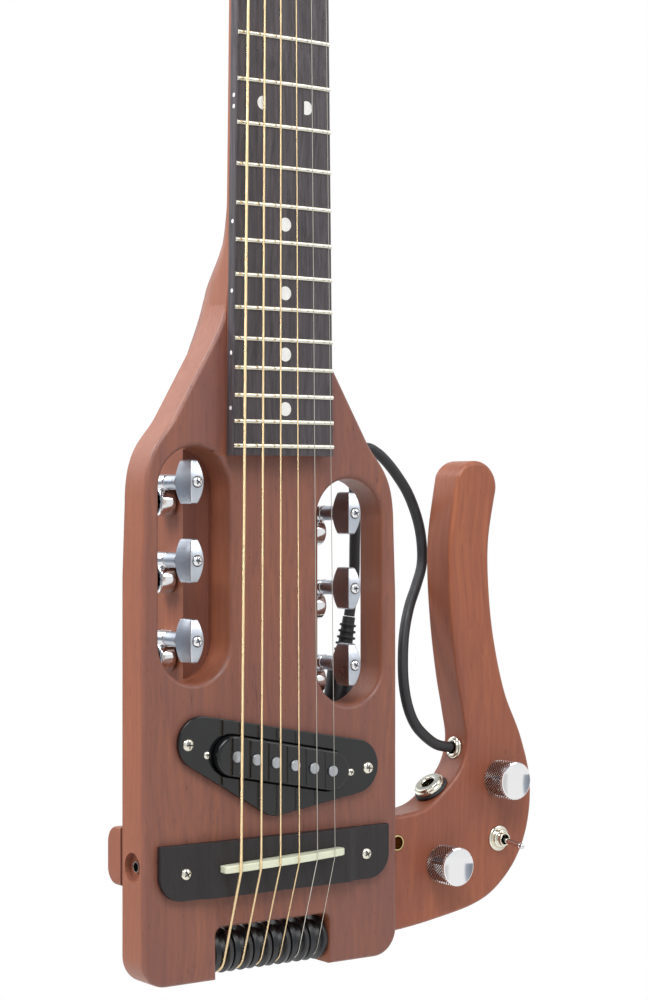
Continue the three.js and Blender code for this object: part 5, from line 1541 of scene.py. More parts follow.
    def cheek(self) -> Solid:
        """Makes the cheek that holds the lead's jack on the block's treble side."""
        solid = Solid(extruded([rounded(20.0, 65.0, 12.0, 44.0, 5.0)], 63.2, 112.0, "Z", (1.2,)))
        top = block_mesh((-90, -90, 0), (90, 90, 40))
        top.transform(Matrix.Translation(LAY.jack) @ Matrix.Rotation(math.radians(LAY.jack_tilt), 4, "Y"))
        front = block_mesh((0, 0, 0), (80, LAY.plate + 0.6, 200))
        return solid.cut(top, front, block_mesh((-40, 0, 0), (30, 60, 200)))

    def openings(self) -> list[Mesh]:
        """Returns cutters for the channel, the mortise, the rod, the jack and the posts' holes."""
        half, corner, (before, behind) = self.channel_half, self.channel_corner, LAY.outside
        (y0, y1), (z0, z1) = LAY.mortise_y, LAY.mortise_z
        n, h, r = self.notch_half, self.notch_height, self.notch_corner
        low = rounded(-half, half, before - 2.0, self.shelf_z, corner)
        high = rounded(-half, half, self.shelf_z - 6.0, self.channel_top, corner)
        past, wire_z = 41.6, LAY.pickup[1]
        aim, jack = LAY.jack_aim, Vector(LAY.jack)
        cutters = [
            plate_mesh([low], self.channel_front, behind),
            plate_mesh([high], self.shelf_y, behind),
            block_mesh((-self.rod_half, -8.0, self.rod_low), (self.rod_half, self.rod_front, LAY.nut_z - 8.75)),
            block_mesh((-past, y0, z0), (past, y1, z1)),
            plate_mesh([rounded(-n, n, -12.0, h, r)], 16.0, behind),
            rod((0, 8, wire_z), (0, 22, wire_z), 2.2),
            rod(jack + aim * 6, jack - aim * self.jack_depth, self.jack_bore, 48),
        ]
        for i in range(len(LAY.radii)):
            near, far = ((LAY.side(i).value * x, LAY.post_y, LAY.post_z(i)) for x in (21.5, past))
            cutters.append(rod(near, far, self.post_bore))
        return cutters

    def rib(self) -> Object:
        """Makes the stub behind the bass wing that takes the slide bar."""
        outline = rounded(8.0, 29.9, 41.5, 66.3, 7.0)
        (y0, y1), (z0, z1) = LAY.mortise_y, LAY.mortise_z
        solid = Solid(extruded([outline], -LAY.side_x, -LAY.block_half - 0.1, "X", (1.0,)))
        solid.cut(block_mesh((-80, 0, 0), (0, LAY.plate + 0.1, 200)), block_mesh((-58.3, y0, z0), (0, y1, z1)))
        return dress("rest_rib_wood", solid.mesh, Body.MAIN, self.finishes.wood, ["rest_rib"])

    def build(self) -> None:
        """Makes the wooden pieces that ride with the neck."""
        solid = self.plate().join(self.beam().mesh, self.cheek().mesh).cut(*self.openings())
        nodes = ["bass_wing", "treble_wing", "center_beam"]
        dress("body_and_neck_wood", solid.mesh, Body.MAIN, self.finishes.wood, nodes, crease=40)
        self.rib()


@dataclass
class Neck:
    """The fretboard with its frets and dots, the nut and the string anchor."""

    finishes: Palette
    fittings: Fittings
    fret_width: float = 2.1
    fret_height: float = 0.95
    fret_inset: float = 0.4
    dot_size: float = 6.0
    side_dot_size: float = 1.8
    marked: tuple[int, ...] = (3, 5, 7, 9, 15, 17, 19, 21)
    octave_half: float = 11.3
    octave_side: float = 2.4
    face_proud: float = 0.04
    side_proud: float = 0.03
    anchor_height: float = 5.6
    anchor_half: float = 20.0

    def section(self, z: float, half: float, rise: float, edge: float) -> Ring:
        """Returns a crowned section whose upper edges are eased."""
        out = []
        for k in range(5):
            a = math.pi / 2 * k / 4
            x = half - edge * (1 - math.cos(a))
            out.append(Vector((x, LAY.board_top - rise + LAY.crown(half) + edge * (1 - math.sin(a)), z)))
        for k in range(1, 16):
            x = (half - edge) * (1 - k / 8)
            out.append(Vector((x, LAY.board_top - rise + LAY.crown(x), z)))
        out += [Vector((-p.x, p.y, z)) for p in reversed(out[:5])]
        bottom = LAY.board_plane - LAY.glue
        return [*out, Vector((-half, bottom, z)), Vector((half, bottom, z))]

    def board(self) -> None:
        """Makes the fretboard."""
        low, high = LAY.board_end, LAY.nut_z - LAY.glue
        stations = [low, 300.0, 400.0, 500.0, 600.0, high]
        mesh = loft_mesh([self.section(z, LAY.half(z), 0.0, 0.7) for z in stations])
        dress("fretboard_wood", mesh, Body.MAIN, self.finishes.ebony, ["fretboard"])

    def frets(self) -> None:
        """Lays the frets by the rule of equal semitones."""
        values = {
            "Count": LAY.fret_count,
            "Semitones": float(LAY.semitones),
            "Scale Length": LAY.scale_length,
            "Saddle": LAY.saddle_z,
            "Nut Half Width": LAY.nut_half,
            "Taper": LAY.taper,
            "End Inset": self.fret_inset,
            "Board Top": LAY.board_top,
            "Crown Radius": LAY.crown_radius,
            "Wire Width": self.fret_width,
            "Wire Height": self.fret_height,
            "Finish": self.finishes.nickel,
        }
        mesh = apply_tree(fret_tree(), values)
        dress("fret_wires", mesh, Body.MAIN, self.finishes.nickel, crease=60)

    def dots(self) -> None:
        """Sets the white dots in the board's face and its bass edge."""
        face, edge = [], []
        top, middle = LAY.board_top - self.face_proud, (LAY.board_top + LAY.board_plane) / 2
        for n in (*self.marked, LAY.semitones):
            signs = (-1, 1) if n == LAY.semitones else (0,)
            z = (LAY.fret_z(n - 1) + LAY.fret_z(n)) / 2
            for x in (sign * self.octave_half for sign in signs):
                face.append(Spot((x, top + LAY.crown(x), z), grow=self.dot_size))
            for up in (z + sign * self.octave_side for sign in signs):
                edge.append(Spot((-LAY.half(up) - self.side_proud, middle, up), (-1, 0, 0), grow=self.side_dot_size))
        for name, spots in (("face_dots", face), ("side_dots", edge)):
            mesh = self.fittings.place(self.fittings.dot, spots, self.finishes.shell)
            dress(name, mesh, Body.MAIN, self.finishes.shell)

    def nut(self) -> None:
        """Makes the nut with a groove for each string."""
        low, high = LAY.nut_z, LAY.nut_z + LAY.nut_length
        half = LAY.half(low) - 0.3
        rises = ((low, LAY.nut_rise), (high, LAY.nut_rise - LAY.nut_groove))
        rings = [self.section(z, half, rise, 0.5) for z, rise in rises]
        solid = Solid(loft_mesh(rings))
        for i, r in enumerate(LAY.radii):
            y = LAY.board_top - LAY.nut_rise + LAY.crown(LAY.nut_x(i)) + LAY.nut_groove - r - LAY.seat
            solid.cut(rod((LAY.nut_x(i), y, low - 3), (LAY.nut_x(i), y, high + 3), r + LAY.seat, 20))
        dress("nut_bone", solid.mesh, Body.MAIN, self.finishes.bone, ["nut"])

    def anchor(self) -> None:
        """Makes the metal block that holds the strings' ball ends."""
        top = LAY.board_plane - self.anchor_height
        outline = rounded(-self.anchor_half, self.anchor_half, top, 5.6, 1.4)
        solid = Solid(extruded([outline], *LAY.anchor_z, "Z", (0.5,)))
        solid.cut(block_mesh((-80, LAY.board_plane - LAY.glue, 600), (80, 30, 720)))
        for i in range(len(LAY.radii)):
            y = LAY.board_plane - LAY.anchor_bore
            solid.cut(rod((LAY.nut_x(i), y, 688), (LAY.nut_x(i), y, 710), 0.95, 20))
        dress("anchor_block", solid.mesh, Body.MAIN, self.finishes.steel, ["string_anchor"])

    def build(self) -> None:
        """Makes everything on the neck but the strings."""
        self.board()
        self.frets()
        self.dots()
        self.nut()
        self.anchor()


@dataclass
class Strings:
    """Six strings from their ball ends over the saddle, round the rollers and onto the posts."""

    finishes: Palette
    wound_count: int = 4
    ball_radius: float = 1.9
    ball_length: float = 3.4
    head_gap: float = 1.0
    turns: int = 2
    winding_gap: float = 0.45
    winding_x: tuple[float, ...] = (22.0, 16.2, 10.4)
    steps: int = 36

    def circle(self, x: float, centre: Point2, r: float, start: float, end: float, count: int) -> list[Vector]:
        """Returns points of an arc in the plane of Y and Z."""
        return [Vector((x, y, z)) for y, z in arc(*centre, r, start, end, count)]

    def path(self, i: int) -> tuple[list[Vector], list[float]]:
        """Returns a string's points and its radius at each."""
        r, x, nut_x, side = LAY.radii[i], LAY.string_x(i), LAY.nut_x(i), LAY.side(i).value
        anchor_y = LAY.board_plane - LAY.anchor_bore
        nut_y = LAY.board_top - LAY.nut_rise + LAY.crown(nut_x) + LAY.nut_groove - r - LAY.seat
        top = Vector((x, LAY.crown(x) - LAY.saddle_height - r - LAY.seat, LAY.saddle_mid + x * LAY.saddle_slant))
        wrap, coil = LAY.roller_groove + r + LAY.seat, LAY.post_radius + r + LAY.seat
        y0, z0 = LAY.roller_axis
        reach = math.hypot(top.y - y0, top.z - z0)
        onto = math.atan2(top.z - z0, top.y - y0) + math.acos(wrap / reach)
        dy, dz = LAY.post_y - y0, LAY.post_z(i) - z0
        off = math.atan2(dz, dy) - math.acos((wrap + coil) / math.hypot(dy, dz))
        leave = off + 2 * math.pi if off < math.pi else off
        wrapped = self.circle(x, LAY.roller_axis, wrap, onto, leave, 40)
        start, post = off + math.pi, (LAY.post_y, LAY.post_z(i))
        wound = self.circle(0, post, coil, start, start - 2 * math.pi * self.turns, self.steps * self.turns)
        for k, point in enumerate(wound):
            point.x = side * (self.winding_x[LAY.rank(i)] - (2 * r + self.winding_gap) * k / self.steps)
        low, high = LAY.anchor_z
        ball = high + self.head_gap
        points = [
            *(Vector((nut_x, anchor_y, z)) for z in (ball + self.ball_length, ball + 0.12, ball, low - 1.0)),
            *(Vector((nut_x, nut_y, z)) for z in (LAY.nut_z + LAY.nut_length, LAY.nut_z)),
            top + Vector((0, 0, 1.6)),
            top - Vector((0, 0, 0.8)),
            *wrapped,
            *wound,
        ]
        return points, [self.ball_radius if k < 2 else r for k in range(len(points))]

    def build(self) -> None:
        """Makes the strings."""
        for i in range(len(LAY.radii)):
            points, radii = self.path(i)
            wound = i < self.wound_count
            finish = self.finishes.wound_string if wound else self.finishes.plain_string
            mesh = tube_mesh(points, radii, 14)
            dress(f"string_line_{i + 1}", mesh, Body.MAIN, finish, [f"string_{i + 1}"], crease=50)


@dataclass
class Bridge:
    """The dark bridge with its bone saddle and two screws."""

    finishes: Palette
    fittings: Fittings
    half_width: float = 60.0
    low: float = 36.2
    high: float = 60.0
    corner: float = 11.0
    end_height: float = 3.0
    height: float = 5.1
    raised_half: float = 36.0
    bevel_run: float = 7.0
    saddle_half: float = 31.3
    saddle_width: float = 3.2
    saddle_depth: float = 4.0
    saddle_end: float = 8.2
    screw_x: float = 47.2
    screw_z: float = 47.5
    screw_size: float = 5.2

    def saddle(self, clearance: float, bottom: float) -> Mesh:
        """Returns the saddle's blank, slanted for the strings' lengths, grown by a clearance."""
        half, w = self.saddle_half + clearance, self.saddle_width / 2 + clearance
        reach, end = half - 3.2, -self.saddle_end - clearance
        top = [(x, LAY.crown(x) - LAY.saddle_height - clearance) for x in (reach * (1 - k / 12) for k in range(25))]
        pull = top[0][1] + 0.3
        outline = [(-half, bottom), (half, bottom), (half, end), *bow((half, end), (half - 0.6, pull), top[0], 5)]
        outline += [*top[1:], *bow(top[-1], (0.6 - half, pull), (-half, end), 5)]
        mesh = extruded([outline], -w, w, "Z", (0.0 if clearance else 0.6,))
        lean = math.atan(LAY.saddle_slant)
        mesh.transform(Matrix.Translation((0, 0, LAY.saddle_mid)) @ Matrix.Rotation(-lean, 4, "Y"))
        return mesh

    def build(self) -> None:
        """Makes the bridge, the saddle and the screws."""
        w, c = self.half_width, self.corner
        face = [(-w, self.high), *arc(c - w, self.low + c, c, math.pi, 1.5 * math.pi, 16)]
        face += [*arc(w - c, self.low + c, c, -math.pi / 2, 0.0, 16), (w, self.high)]
        r, e, h = self.raised_half, self.end_height, self.height
        section = [(-w - 1, -LAY.glue), (w + 1, -LAY.glue), (w + 1, -e), (r + self.bevel_run, -e)]
        section += bow((r + self.bevel_run, -e), (r + self.bevel_run / 2, -e), (r + 2.6, -h + 0.55), 6)
        section += bow((r + 2.6, -h + 0.55), (r + 1.2, -h), (r - 0.6, -h), 5)
        section += [(-x, y) for x, y in reversed(section[3:])] + [(-w - 1, -e)]
        solid = Solid(plate_mesh([face], -h - 6, 6)).keep(extruded([section], 30.0, 70.0, "Z"))
        solid.cut(self.saddle(0.1, self.saddle_depth - h))
        solid.mesh = eased(solid.mesh, 0.55, 35)
        dress("bridge_wood", solid.mesh, Body.MAIN, self.finishes.bridge_wood, ["bridge"], crease=40)
        bottom = self.saddle_depth - h - LAY.glue
        dress("saddle_bone", self.saddle(0.0, bottom), Body.MAIN, self.finishes.bone, ["saddle"])
        places = [(x, -e + 0.15, self.screw_z) for x in (-self.screw_x, self.screw_x)]
        spots = [Spot(place, spin=0.5, grow=self.screw_size) for place in places]
        self.fittings.screws("bridge_screw", spots, Body.MAIN, self.finishes.nickel)


def eased(mesh: Mesh, width: float, angle: float, steps: int = 2) -> Mesh:
    """Rounds the edges of a mesh that turn by more than an angle.

    Args:
        mesh: the mesh in millimetres.
        width: the round's width.
        angle: the least turn in degrees.
        steps: faces across a round.

    Returns:
        The rounded mesh.
    """
    holder = bpy.data.objects.new("eased", mesh)
    bpy.context.scene.collection.objects.link(holder)
    weld = holder.modifiers.new("flat", "DECIMATE")
    weld.decimate_type = "DISSOLVE"
    weld.angle_limit = math.radians(1.0)
    modifier = holder.modifiers.new("round", "BEVEL")
    modifier.width = width
    modifier.segments = steps
    modifier.limit_method = "ANGLE"
    modifier.angle_limit = math.radians(angle)
    modifier.use_clamp_overlap = True
    graph = bpy.context.evaluated_depsgraph_get()
    done = bpy.data.meshes.new_from_object(holder.evaluated_get(graph))
    bpy.data.objects.remove(holder)
    return done


@dataclass
class PickupSet:
    """The pickup on its slant, its plate, poles and screws."""

    finishes: Palette
    fittings: Fittings
    circles: tuple[Point3, ...] = ((-39.2, 102.3, 11.4), (-1.2, 79.0, 10.7), (42.0, 86.8, 12.0))
    length: float = 70.0
    width: float = 17.4
    rise: float = 4.2
    depth: float = 11.0
    thickness: float = 2.5
    clearance: float = 0.4
    pole_pitch: float = 10.2
    pole_size: float = 4.8
    plate_screw: float = 5.4
    height_screw: float = 3.4
    plate_screws: tuple[Point2, ...] = ((-46.0, 101.8), (48.2, 85.7))
    height_screws: tuple[Point2, ...] = ((-36.6, 96.9), (38.9, 84.4))

    @staticmethod
    def slope() -> float:
        """Returns the pickup's slope to X."""
        return math.atan2(86.8 - 102.3, 42.0 + 39.2)

    def build(self) -> None:
        """Makes the pickup's pieces."""
        lean, room = self.slope(), 2 * self.clearance
        room = oblong(*LAY.pickup, self.length + room, self.width + room, lean)
        low, high = -self.thickness - LAY.glue, -LAY.glue
        plate = plate_mesh([belt(self.circles, 5.0), room], low, high, (0.5,), 3)
        dress("pickup_cover_plate", plate, Body.MAIN, self.finishes.gloss_black, ["pickup_plate"])
        top = -self.thickness - self.rise
        cover = plate_mesh([oblong(*LAY.pickup, self.length, self.width, lean)], top, self.depth, (1.1,), 5)
        dress("pickup_shell", cover, Body.MAIN, self.finishes.gloss_black, ["pickup"])
        spots = []
        for i in range(len(LAY.radii)):
            reach = (i - 2.5) * self.pole_pitch
            x, z = LAY.pickup[0] + reach * math.cos(lean), LAY.pickup[1] + reach * math.sin(lean)
            spots.append(Spot((x, top - 0.1, z), grow=self.pole_size))
        mesh = self.fittings.place(self.fittings.pole, spots, self.finishes.steel)
        dress("pickup_poles", mesh, Body.MAIN, self.finishes.steel)
        spots = [Spot((x, low + 0.1, z), spin=0.4 + x, grow=self.plate_screw) for x, z in self.plate_screws]
        spots += [Spot((x, low + 0.15, z), spin=x, grow=self.height_screw) for x, z in self.height_screws]
        self.fittings.screws("pickup_screw", spots, Body.MAIN, self.finishes.nickel)


@dataclass
class Rollers:
    """The black rollers that turn the strings back, on their axle."""

    finishes: Palette
    rim: float = 9.9
    width: float = 9.1
    rim_width: float = 2.2
    groove_half: float = 1.3
    chamfer: float = 0.6
    bore: float = 2.33
    face_sink: float = 0.3

    def build(self) -> None:
        """Makes six rollers."""
        half = self.width / 2
        sunk = -half + self.face_sink
        side = [(self.bore, -half), (self.bore + 1.6, -half), (self.bore + 1.8, sunk), (self.rim - 2.2, sunk)]
        side += [(self.rim - 2.0, -half), (self.rim - self.chamfer, -half), (self.rim, self.rim_width - half)]
        side.append((LAY.roller_groove, -self.groove_half))
        profile = side + [(r, -along) for r, along in reversed(side)] + [side[0]]
        for i in range(len(LAY.radii)):
            mesh = turned_mesh(soften(profile, 0.4), (LAY.string_x(i), *LAY.roller_axis), (1, 0, 0), 64)
            body = f"roller_{i + 1}"
            dress(f"roller_wheel_{i + 1}", mesh, body, self.finishes.plastic, [body])


@dataclass
class Tuners:
    """Six tuners: a housing on the block's side, a button with its worm, and a string post."""

    finishes: Palette
    fittings: Fittings
    case_half: float = 6.5
    case_low: float = 5.2
    case_out: float = 8.2
    barrel_radius: float = 3.5
    barrel_front: float = 8.4
    barrel_back: float = 8.6
    bore: float = 2.5
    button_front: float = -2.4
    button_back: float = 10.7
    button_height: float = 18.8
    button_width: float = 6.7
    end_width: float = 3.3
    front_bow: float = 2.4
    back_bow: float = 1.7
    boss_sink: float = 1.6
    boss_radius: float = 3.6
    boss_length: float = 3.0
    collar: float = 3.3
    shaft: float = 1.4
    shaft_end: float = 6.0
    post_tip: float = 5.4
    wheel_radius: float = 5.6
    wheel_width: float = 5.0
    teeth: int = 14
    tooth_depth: float = 0.7
    screw_size: float = 4.6

    @property
    def out(self) -> float:
        """Returns how far the worm stands out from the block."""
        return LAY.worm_x - LAY.block_half

    def housing(self, side: Side) -> Mesh:
        """Returns a housing: foot plate, gear case and worm barrel, round the post's axis."""
        s, up = side.value, LAY.centre_distance
        w, low, r = self.case_half, self.case_low, self.barrel_radius
        foot = extruded([rounded(-3.5, w, -low, up + r - 0.3, 1.0)], *sorted((s * LAY.glue, s * 1.4)), "X", (0.3,), 2)
        near, far = sorted((s * 0.5, s * self.case_out))
        case = extruded([rounded(-w, w, -w, w, w - 0.02)], near, far, "X", (0.9,))
        barrel = [(0, -self.barrel_front), (r, -self.barrel_front), (r, self.barrel_back), (0, self.barrel_back)]
        barrel = turned_mesh(soften(barrel, 0.9, 5), (s * self.out, 0, up), (0, 1, 0), 56)
        web = block_mesh((min(0.5 * s, s * self.out), -w, up - 3.0), (max(0.5 * s, s * self.out), w, up + 3.0))
        solid = Solid(foot).join(case, barrel, web)
        solid.cut(rod((-s * 6, 0, 0), (s * (self.case_out - 0.9), 0, 0), self.wheel_radius + 0.35, 40))
        x = s * self.out
        return solid.cut(rod((x, -14, up), (x, self.shaft_end + 0.3, up), self.bore)).mesh

    def button(self, side: Side) -> Mesh:
        """Returns a bowed lens-shaped button with its boss, collar, shaft and worm."""
        x, z = side.value * self.out, LAY.centre_distance
        front, back = self.button_front - LAY.post_y, self.button_back - LAY.post_y
        half, tip, reach = self.button_height / 2, self.end_width / 2, self.button_width
        pull = reach - tip
        face = lens((x - tip, x - pull), (x + tip, x + pull), z, half)
        near, far = (front + self.front_bow, front - self.front_bow), (back - self.back_bow, back + self.back_bow)
        side_view = extruded([lens(near, far, z, half)], x - reach, x + reach, "X")
        solid = Solid(plate_mesh([face], front - 1, back + 1)).keep(side_view)
        solid.mesh = eased(solid.mesh, 0.7, 40, 3)
        start = back - self.boss_sink
        stop = -self.barrel_front - 0.3 - start
        profile = [(0, 0), (self.boss_radius - 2, 0), (self.boss_radius, self.boss_sink)]
        profile += [(self.boss_radius - 0.4, self.boss_sink + 1.0), (self.collar, self.boss_sink + self.boss_length)]
        end = self.shaft_end - start
        profile += [(self.collar, stop), (self.shaft, stop), (self.shaft, end), (0, end)]
        return solid.join(turned_mesh(soften(profile, 0.4), (x, start, z), (0, 1, 0), 40)).mesh

    def post(self, side: Side) -> Mesh:
        """Returns a straight post and its worm wheel."""
        s = side.value
        count = 2 * self.teeth
        wheel = []
        for k in range(count):
            r = self.wheel_radius - (self.tooth_depth if k % 2 else 0)
            wheel.append((r * math.cos(2 * math.pi * k / count), r * math.sin(2 * math.pi * k / count)))
        lo, hi = sorted((s * (self.out - self.wheel_width / 2), s * (self.out + self.wheel_width / 2)))
        solid = Solid(extruded([wheel], lo, hi, "X"))
        tip = LAY.block_half - self.post_tip
        profile = [(0, -tip), (LAY.post_radius, -tip), (LAY.post_radius, self.out + 2.5), (0, self.out + 2.5)]
        return solid.join(turned_mesh(soften(profile, 0.5), (0, 0, 0), (s, 0, 0), 40)).mesh

    def build(self) -> None:
        """Makes the six tuners."""
        for side in Side:
            housing, button, post = self.housing(side), self.button(side), self.post(side)
            for i in (k for k in range(len(LAY.radii)) if LAY.side(k) is side):
                place = Matrix.Translation((side.value * LAY.block_half, LAY.post_y, LAY.post_z(i)))
                n = i + 1
                knob, axle = f"tuner_button_{n}", f"string_post_{n}"
                jobs = [
                    (housing, f"tuner_case_{n}", Body.MAIN, self.finishes.chrome, "chrome", f"tuner_housing_{n}"),
                    (button, f"tuner_knob_{n}", knob, self.finishes.satin, "chrome", knob),
                    (post, f"post_shaft_{n}", axle, self.finishes.steel, "steel", axle),
                ]
                for shape, name, body, finish, slot, replaced in jobs:
                    mesh = shape.copy()
                    mesh.transform(place)
                    dress(name, mesh, body, finish, [replaced], crease=38)
                x = side.value * LAY.worm_x
                spot = Spot((x, self.button_front + 0.05, LAY.worm_z(i)), spin=0.3 + 1.1 * i, grow=self.screw_size)
                self.fittings.screws(f"tuner_screw_{n}", [spot], knob, self.finishes.chrome)


@dataclass
class Jacks:
    """The lead's jack in the cheek and the small socket in the body's bass side."""

    finishes: Palette
    socket_sink: float = 1.75

    def build(self) -> None:
        """Makes both."""
        profile = [(0, -20.8), (3.4, -20.8), (3.4, 2.4), (5.0, 2.4), (5.3, 1.9), (6.8, 1.6), (6.8, 0.1)]
        profile += [(5.2, 0.1), (5.2, -26), (0, -26)]
        mesh = turned_mesh(soften(profile, 0.25), LAY.jack, LAY.jack_aim, 56)
        dress("lead_jack_shell", mesh, Body.MAIN, self.finishes.chrome, ["lead_jack"])
        start = self.socket_sink - LAY.side_x
        profile = [(2.5, 1.0), (2.5, 13.25), (1.95, 13.25), (1.95, 0.0), (2.3, 0.0), (2.5, 1.0)]
        mesh = turned_mesh(profile, (start, *LAY.socket), (1, 0, 0), 40)
        dress("side_socket_shell", mesh, Body.MAIN, self.finishes.nickel, ["side_socket"])


@dataclass
class LapRest:
    """The lap rest with its knobs, switch, jack, eyelet, insert, bar and cavity cover."""

    finishes: Palette
    fittings: Fittings
    front: float = 11.0
    back: float = 29.8
    roundover: float = 2.2
    reach: float = 88.3
    low: float = 7.3
    height: float = 216.2
    tip_share: Point2 = (0.6308, 0.944)
    tip_radius: float = 12.4
    bar_top: float = 61.0
    outer: tuple[Point2, ...] = (
        (0.72, 0.83), (0.72, 0.735), (0.753, 0.62), (0.831, 0.496), (0.942, 0.398), (1.01, 0.3),
        (0.997, 0.205), (0.915, 0.125), (0.772, 0.065), (0.61, 0.034), (0.35, 0.014), (0.14, 0.003),
    )
    inner: tuple[Point2, ...] = (
        (0.135, 0.246), (0.29, 0.256), (0.412, 0.288), (0.522, 0.333), (0.568, 0.39), (0.546, 0.452),
        (0.507, 0.53), (0.468, 0.64), (0.447, 0.755), (0.454, 0.85),
    )
    volume: Point2 = (135.7, 73.2)
    tone: Point2 = (101.0, 36.1)
    toggle: Point2 = (135.4, 44.9)
    outlet: Point3 = (102.5, 69.6, 125.8)
    eyelet: Point3 = (116.2, 88.2, 174.3)
    insert: Point2 = (75.2, 48.0)
    dish: float = 8.3
    cavity_radius: float = 13.2
    cavity_corner: Point3 = (108.4, 61.9, 5.9)
    cover_room: float = 2.5
    cover_screws: tuple[Point2, ...] = ((93.0, 26.5), (140.5, 32.5), (146.0, 78.5), (104.5, 63.5))
    bar_x: Point2 = (-58.0, 60.0)
    bar_section: tuple[float, float, float, float] = (23.3, 27.3, 46.0, 60.0)

    def at(self, share: Point2) -> Point2:
        """Returns a point of the outline from its shares of the reach and the height."""
        return (LAY.side_x + share[0] * self.reach, self.low + share[1] * self.height)

    def outline(self) -> list[Point2]:
        """Returns the lap rest's outline with its cross bar towards the block."""
        tip = self.at(self.tip_share)
        round_tip = arc(*tip, self.tip_radius, math.radians(-20), math.radians(155), 30)
        outer = [(LAY.side_x, self.low), *[self.at(s) for s in reversed(self.outer)], round_tip[0]]
        inner = [round_tip[-1], *[self.at(s) for s in reversed(self.inner)]]
        return [(30.0, self.low), outer[0], *spline(outer), *round_tip[1:], *spline(inner),
                (LAY.side_x, self.bar_top), (30.0, self.bar_top)]

    def cavity(self, margin: float) -> list[Point2]:
        """Returns the outline of the cavity behind the controls."""
        r = self.cavity_radius + margin
        circles = [(*self.tone, r), (self.toggle[0] - 4, self.toggle[1] - 4, r), (*self.volume, r - 2.5)]
        x, z, corner = self.cavity_corner
        return belt([*circles, (x, z, corner + margin)])

    def edge(self, place: Point3) -> tuple[Vector, Vector]:
        """Returns a fitting's place on the rest's edge and the way it points."""
        turn = math.radians(place[2])
        middle = (self.front + self.back) / 2
        return Vector((place[0], middle, place[1])), Vector((math.cos(turn), 0, math.sin(turn)))

    def wood(self) -> None:
        """Makes the wooden plate with its bores and cavity."""
        solid = Solid(plate_mesh([self.outline()], self.front, self.back, (self.roundover,), 7))
        solid.cut(block_mesh((0, 0, 0), (36.1, 45, 300)), block_mesh((0, 0, -6), (67.2, 19.1, 300)))
        solid.cut(block_mesh((0, 23.18, 45.88), (60.12, 27.42, 60.12)))
        behind = self.back + 6.2
        solid.cut(plate_mesh([self.cavity(0.0)], 15.0, behind))
        solid.cut(plate_mesh([self.cavity(self.cover_room)], 27.68, behind))
        for place, r, depth, face in ((self.outlet, 5.78, 20.0, 8.4), (self.eyelet, 4.22, 14.0, 5.52)):
            at, aim = self.edge(place)
            solid.cut(rod(at + aim * 6, at - aim * depth, r, 56), rod(at, at + aim * 6, face, 56))
        x, z = self.insert
        solid.cut(rod((x, 5, z), (x, 19.12, z), 3.77, 40))
        for (x, z), r in ((self.volume, 4.72), (self.tone, 4.72), (self.toggle, 3.22)):
            solid.cut(rod((x, 5, z), (x, 20.4, z), r, 40))
        dress("lap_rest_wood", solid.mesh, Body.REST, self.finishes.rest_wood, ["lap_rest"], crease=40)

    def knob(self, name: str, place: Point2, body: Body) -> None:
        """Makes a knurled knob with a dished polished top."""
        finish = KnurlFinish(f"{name}_chrome", place).make()
        sizes = {"Columns": 80, "Rows": 14, "Radius": 9.0, "Depth": 0.45, "Front": -11.7, "Back": -0.3}
        skin = apply_tree(knurl_tree(), {**sizes, "Finish": finish})
        work = bmesh.new()
        work.from_mesh(skin)
        bmesh.ops.holes_fill(work, edges=[e for e in work.edges if e.is_boundary], sides=0)
        bmesh.ops.recalc_face_normals(work, faces=work.faces)
        work.to_mesh(skin)
        work.free()
        cap = [(self.dish * k / 9, -12.0 - 0.9 * (k / 9) ** 2) for k in range(10)]
        cap += [(8.75, -12.65), (8.75, -11.4), (0, -11.4)]
        solid = Solid(skin).join(turned_mesh(cap, (0, 0, 0), (0, 1, 0), 96))
        solid.cut(rod((0, 6, 0), (0, -9.3, 0), 3.3, 40))
        solid.mesh.transform(Matrix.Translation((place[0], self.front, place[1])))
        dress(f"{name}_grip", solid.mesh, body, finish, [body.value], crease=12)

    def switch(self) -> None:
        """Makes the switch with its washer, ring nut and bush, and the lever."""
        x, z = self.toggle
        can = block_mesh((-4, 4.12, -6.3), (4, 13.12, 6.3))
        profile = [(0, 4.3), (3.1, 4.3), (3.1, -0.1), (6.0, -0.1), (6.0, -0.55), (5.4, -0.95), (4.5, -0.95)]
        profile += [(4.5, -2.4), (4.0, -3.0), (3.2, -3.1), (3.1, -5.0), (2.4, -5.0), (2.4, 3.6), (0, 3.6)]
        body = turned_mesh(soften(profile, 0.22), (0, 0, 0), (0, 1, 0), 56)
        solid = Solid(body).join(can)
        solid.mesh.transform(Matrix.Translation((x, self.front, z)))
        dress("switch_shell", solid.mesh, Body.REST, self.finishes.nickel, ["switch_body"])
        profile = [(0, 0), (1.5, 0.4), (1.9, 1.65), (1.5, 2.9), (1.25, 3.6), (1.25, 16.0)]
        profile += [(1.0, 16.3), (1.3, 16.8), (1.3, 17.8), (0.8, 18.25), (0, 18.3)]
        low = math.radians(6.5)
        aim = Vector((0, -math.cos(low), -math.sin(low)))
        start = Vector((x, self.front - 1.6, z)) - aim * 1.65
        mesh = turned_mesh(soften(profile, 0.4), start, aim, 32)
        dress("switch_stick", mesh, Body.LEVER, self.finishes.chrome, ["switch_lever"], crease=60)

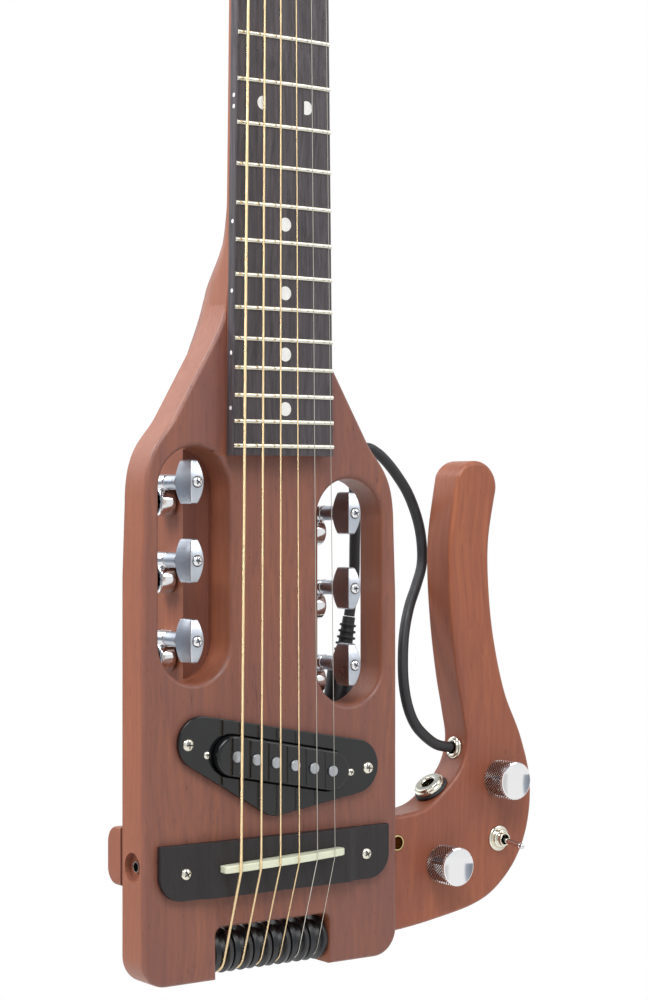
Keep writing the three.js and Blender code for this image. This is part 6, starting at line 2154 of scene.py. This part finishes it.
    def jack(self) -> None:
        """Makes the output jack's nut on its rubber washer, and the eyelet."""
        at, aim = self.edge(self.outlet)
        washer = soften([(5.9, 0.05), (8.1, 0.05), (8.3, 0.7), (8.0, 1.35), (5.9, 1.35), (5.9, 0.05)], 0.2)
        dress("outlet_washer", turned_mesh(washer, at, aim, 64), Body.REST, self.finishes.rubber)
        profile = [(0, -14.0), (5.55, -14.0), (5.55, 1.4), (7.4, 1.4), (7.5, 2.8), (7.2, 3.05), (6.7, 3.1), (6.6, 3.9)]
        profile += [(6.3, 4.35), (5.6, 4.4), (3.7, 4.35), (3.2, 3.9), (3.2, -8.1), (0, -8.1)]
        mesh = turned_mesh(soften(profile, 0.2), at, aim, 72)
        dress("outlet_shell", mesh, Body.REST, self.finishes.nickel, ["output_jack"])
        at, aim = self.edge(self.eyelet)
        profile = [(2.9, -8.0), (4.1, -8.0), (4.1, 0.1), (5.4, 0.1), (5.4, 0.7), (4.9, 1.15), (4.5, 1.2), (4.3, 1.9)]
        profile += [(3.6, 2.3), (2.9, 1.9), (2.9, -8.0)]
        mesh = turned_mesh(soften(profile, 0.25), at, aim, 64)
        dress("eyelet_ring", mesh, Body.REST, self.finishes.nickel, ["cable_eyelet"])

    def small(self) -> None:
        """Makes the brass insert, the slide bar, the cover and its screws."""
        x, z = self.insert
        profile = [(2.95, -0.25), (3.45, -0.25), (3.65, 0.0), (3.65, 8.0), (2.95, 8.0), (2.95, -0.25)]
        mesh = turned_mesh(profile, (x, self.front, z), (0, 1, 0), 48)
        dress("insert_ring", mesh, Body.REST, self.finishes.brass, ["threaded_insert"])
        mesh = extruded([rounded(*self.bar_section, 0.6)], *self.bar_x, "X", (0.5,), 2)
        dress("slide_bar_steel", mesh, Body.REST, self.finishes.steel, ["slide_bar"])
        mesh = plate_mesh([self.cavity(2.2)], self.back - 2.0, self.back, (0.5,), 3)
        dress("cover_plate", mesh, Body.REST, self.finishes.plastic, ["cavity_cover"])
        y = self.back - 0.05
        spots = [Spot((px, y, pz), (0, 1, 0), spin=px, grow=4.4) for px, pz in self.cover_screws]
        self.fittings.screws("cover_screw", spots, Body.REST, self.finishes.nickel)

    def build(self) -> None:
        """Makes the lap rest's pieces."""
        self.wood()
        self.knob("volume", self.volume, Body.VOLUME)
        self.knob("tone", self.tone, Body.TONE)
        self.switch()
        self.jack()
        self.small()


def dress_hidden(finishes: Palette) -> None:
    """Gives the frame's own solids that stay their finishes."""
    for name in ("truss_rod", "roller_axle", "volume_pot", "tone_pot"):
        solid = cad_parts[name]
        solid.data.materials.clear()
        solid.data.materials.append(finishes.steel)
        log.info("%s keeps the frame's solid", name)


def main() -> None:
    """Builds the studio and the guitar, piece by piece."""
    logging.basicConfig(level=logging.INFO, format="%(name)s: %(message)s")
    Studio().build()
    finishes = Palette()
    Lead(finishes).build()
    fittings = Fittings(finishes)
    Woodwork(finishes).build()
    Neck(finishes, fittings).build()
    Strings(finishes).build()
    Bridge(finishes, fittings).build()
    PickupSet(finishes, fittings).build()
    Rollers(finishes).build()
    Tuners(finishes, fittings).build()
    Jacks(finishes).build()
    LapRest(finishes, fittings).build()
    dress_hidden(finishes)


if __name__ == "__main__":
    main()
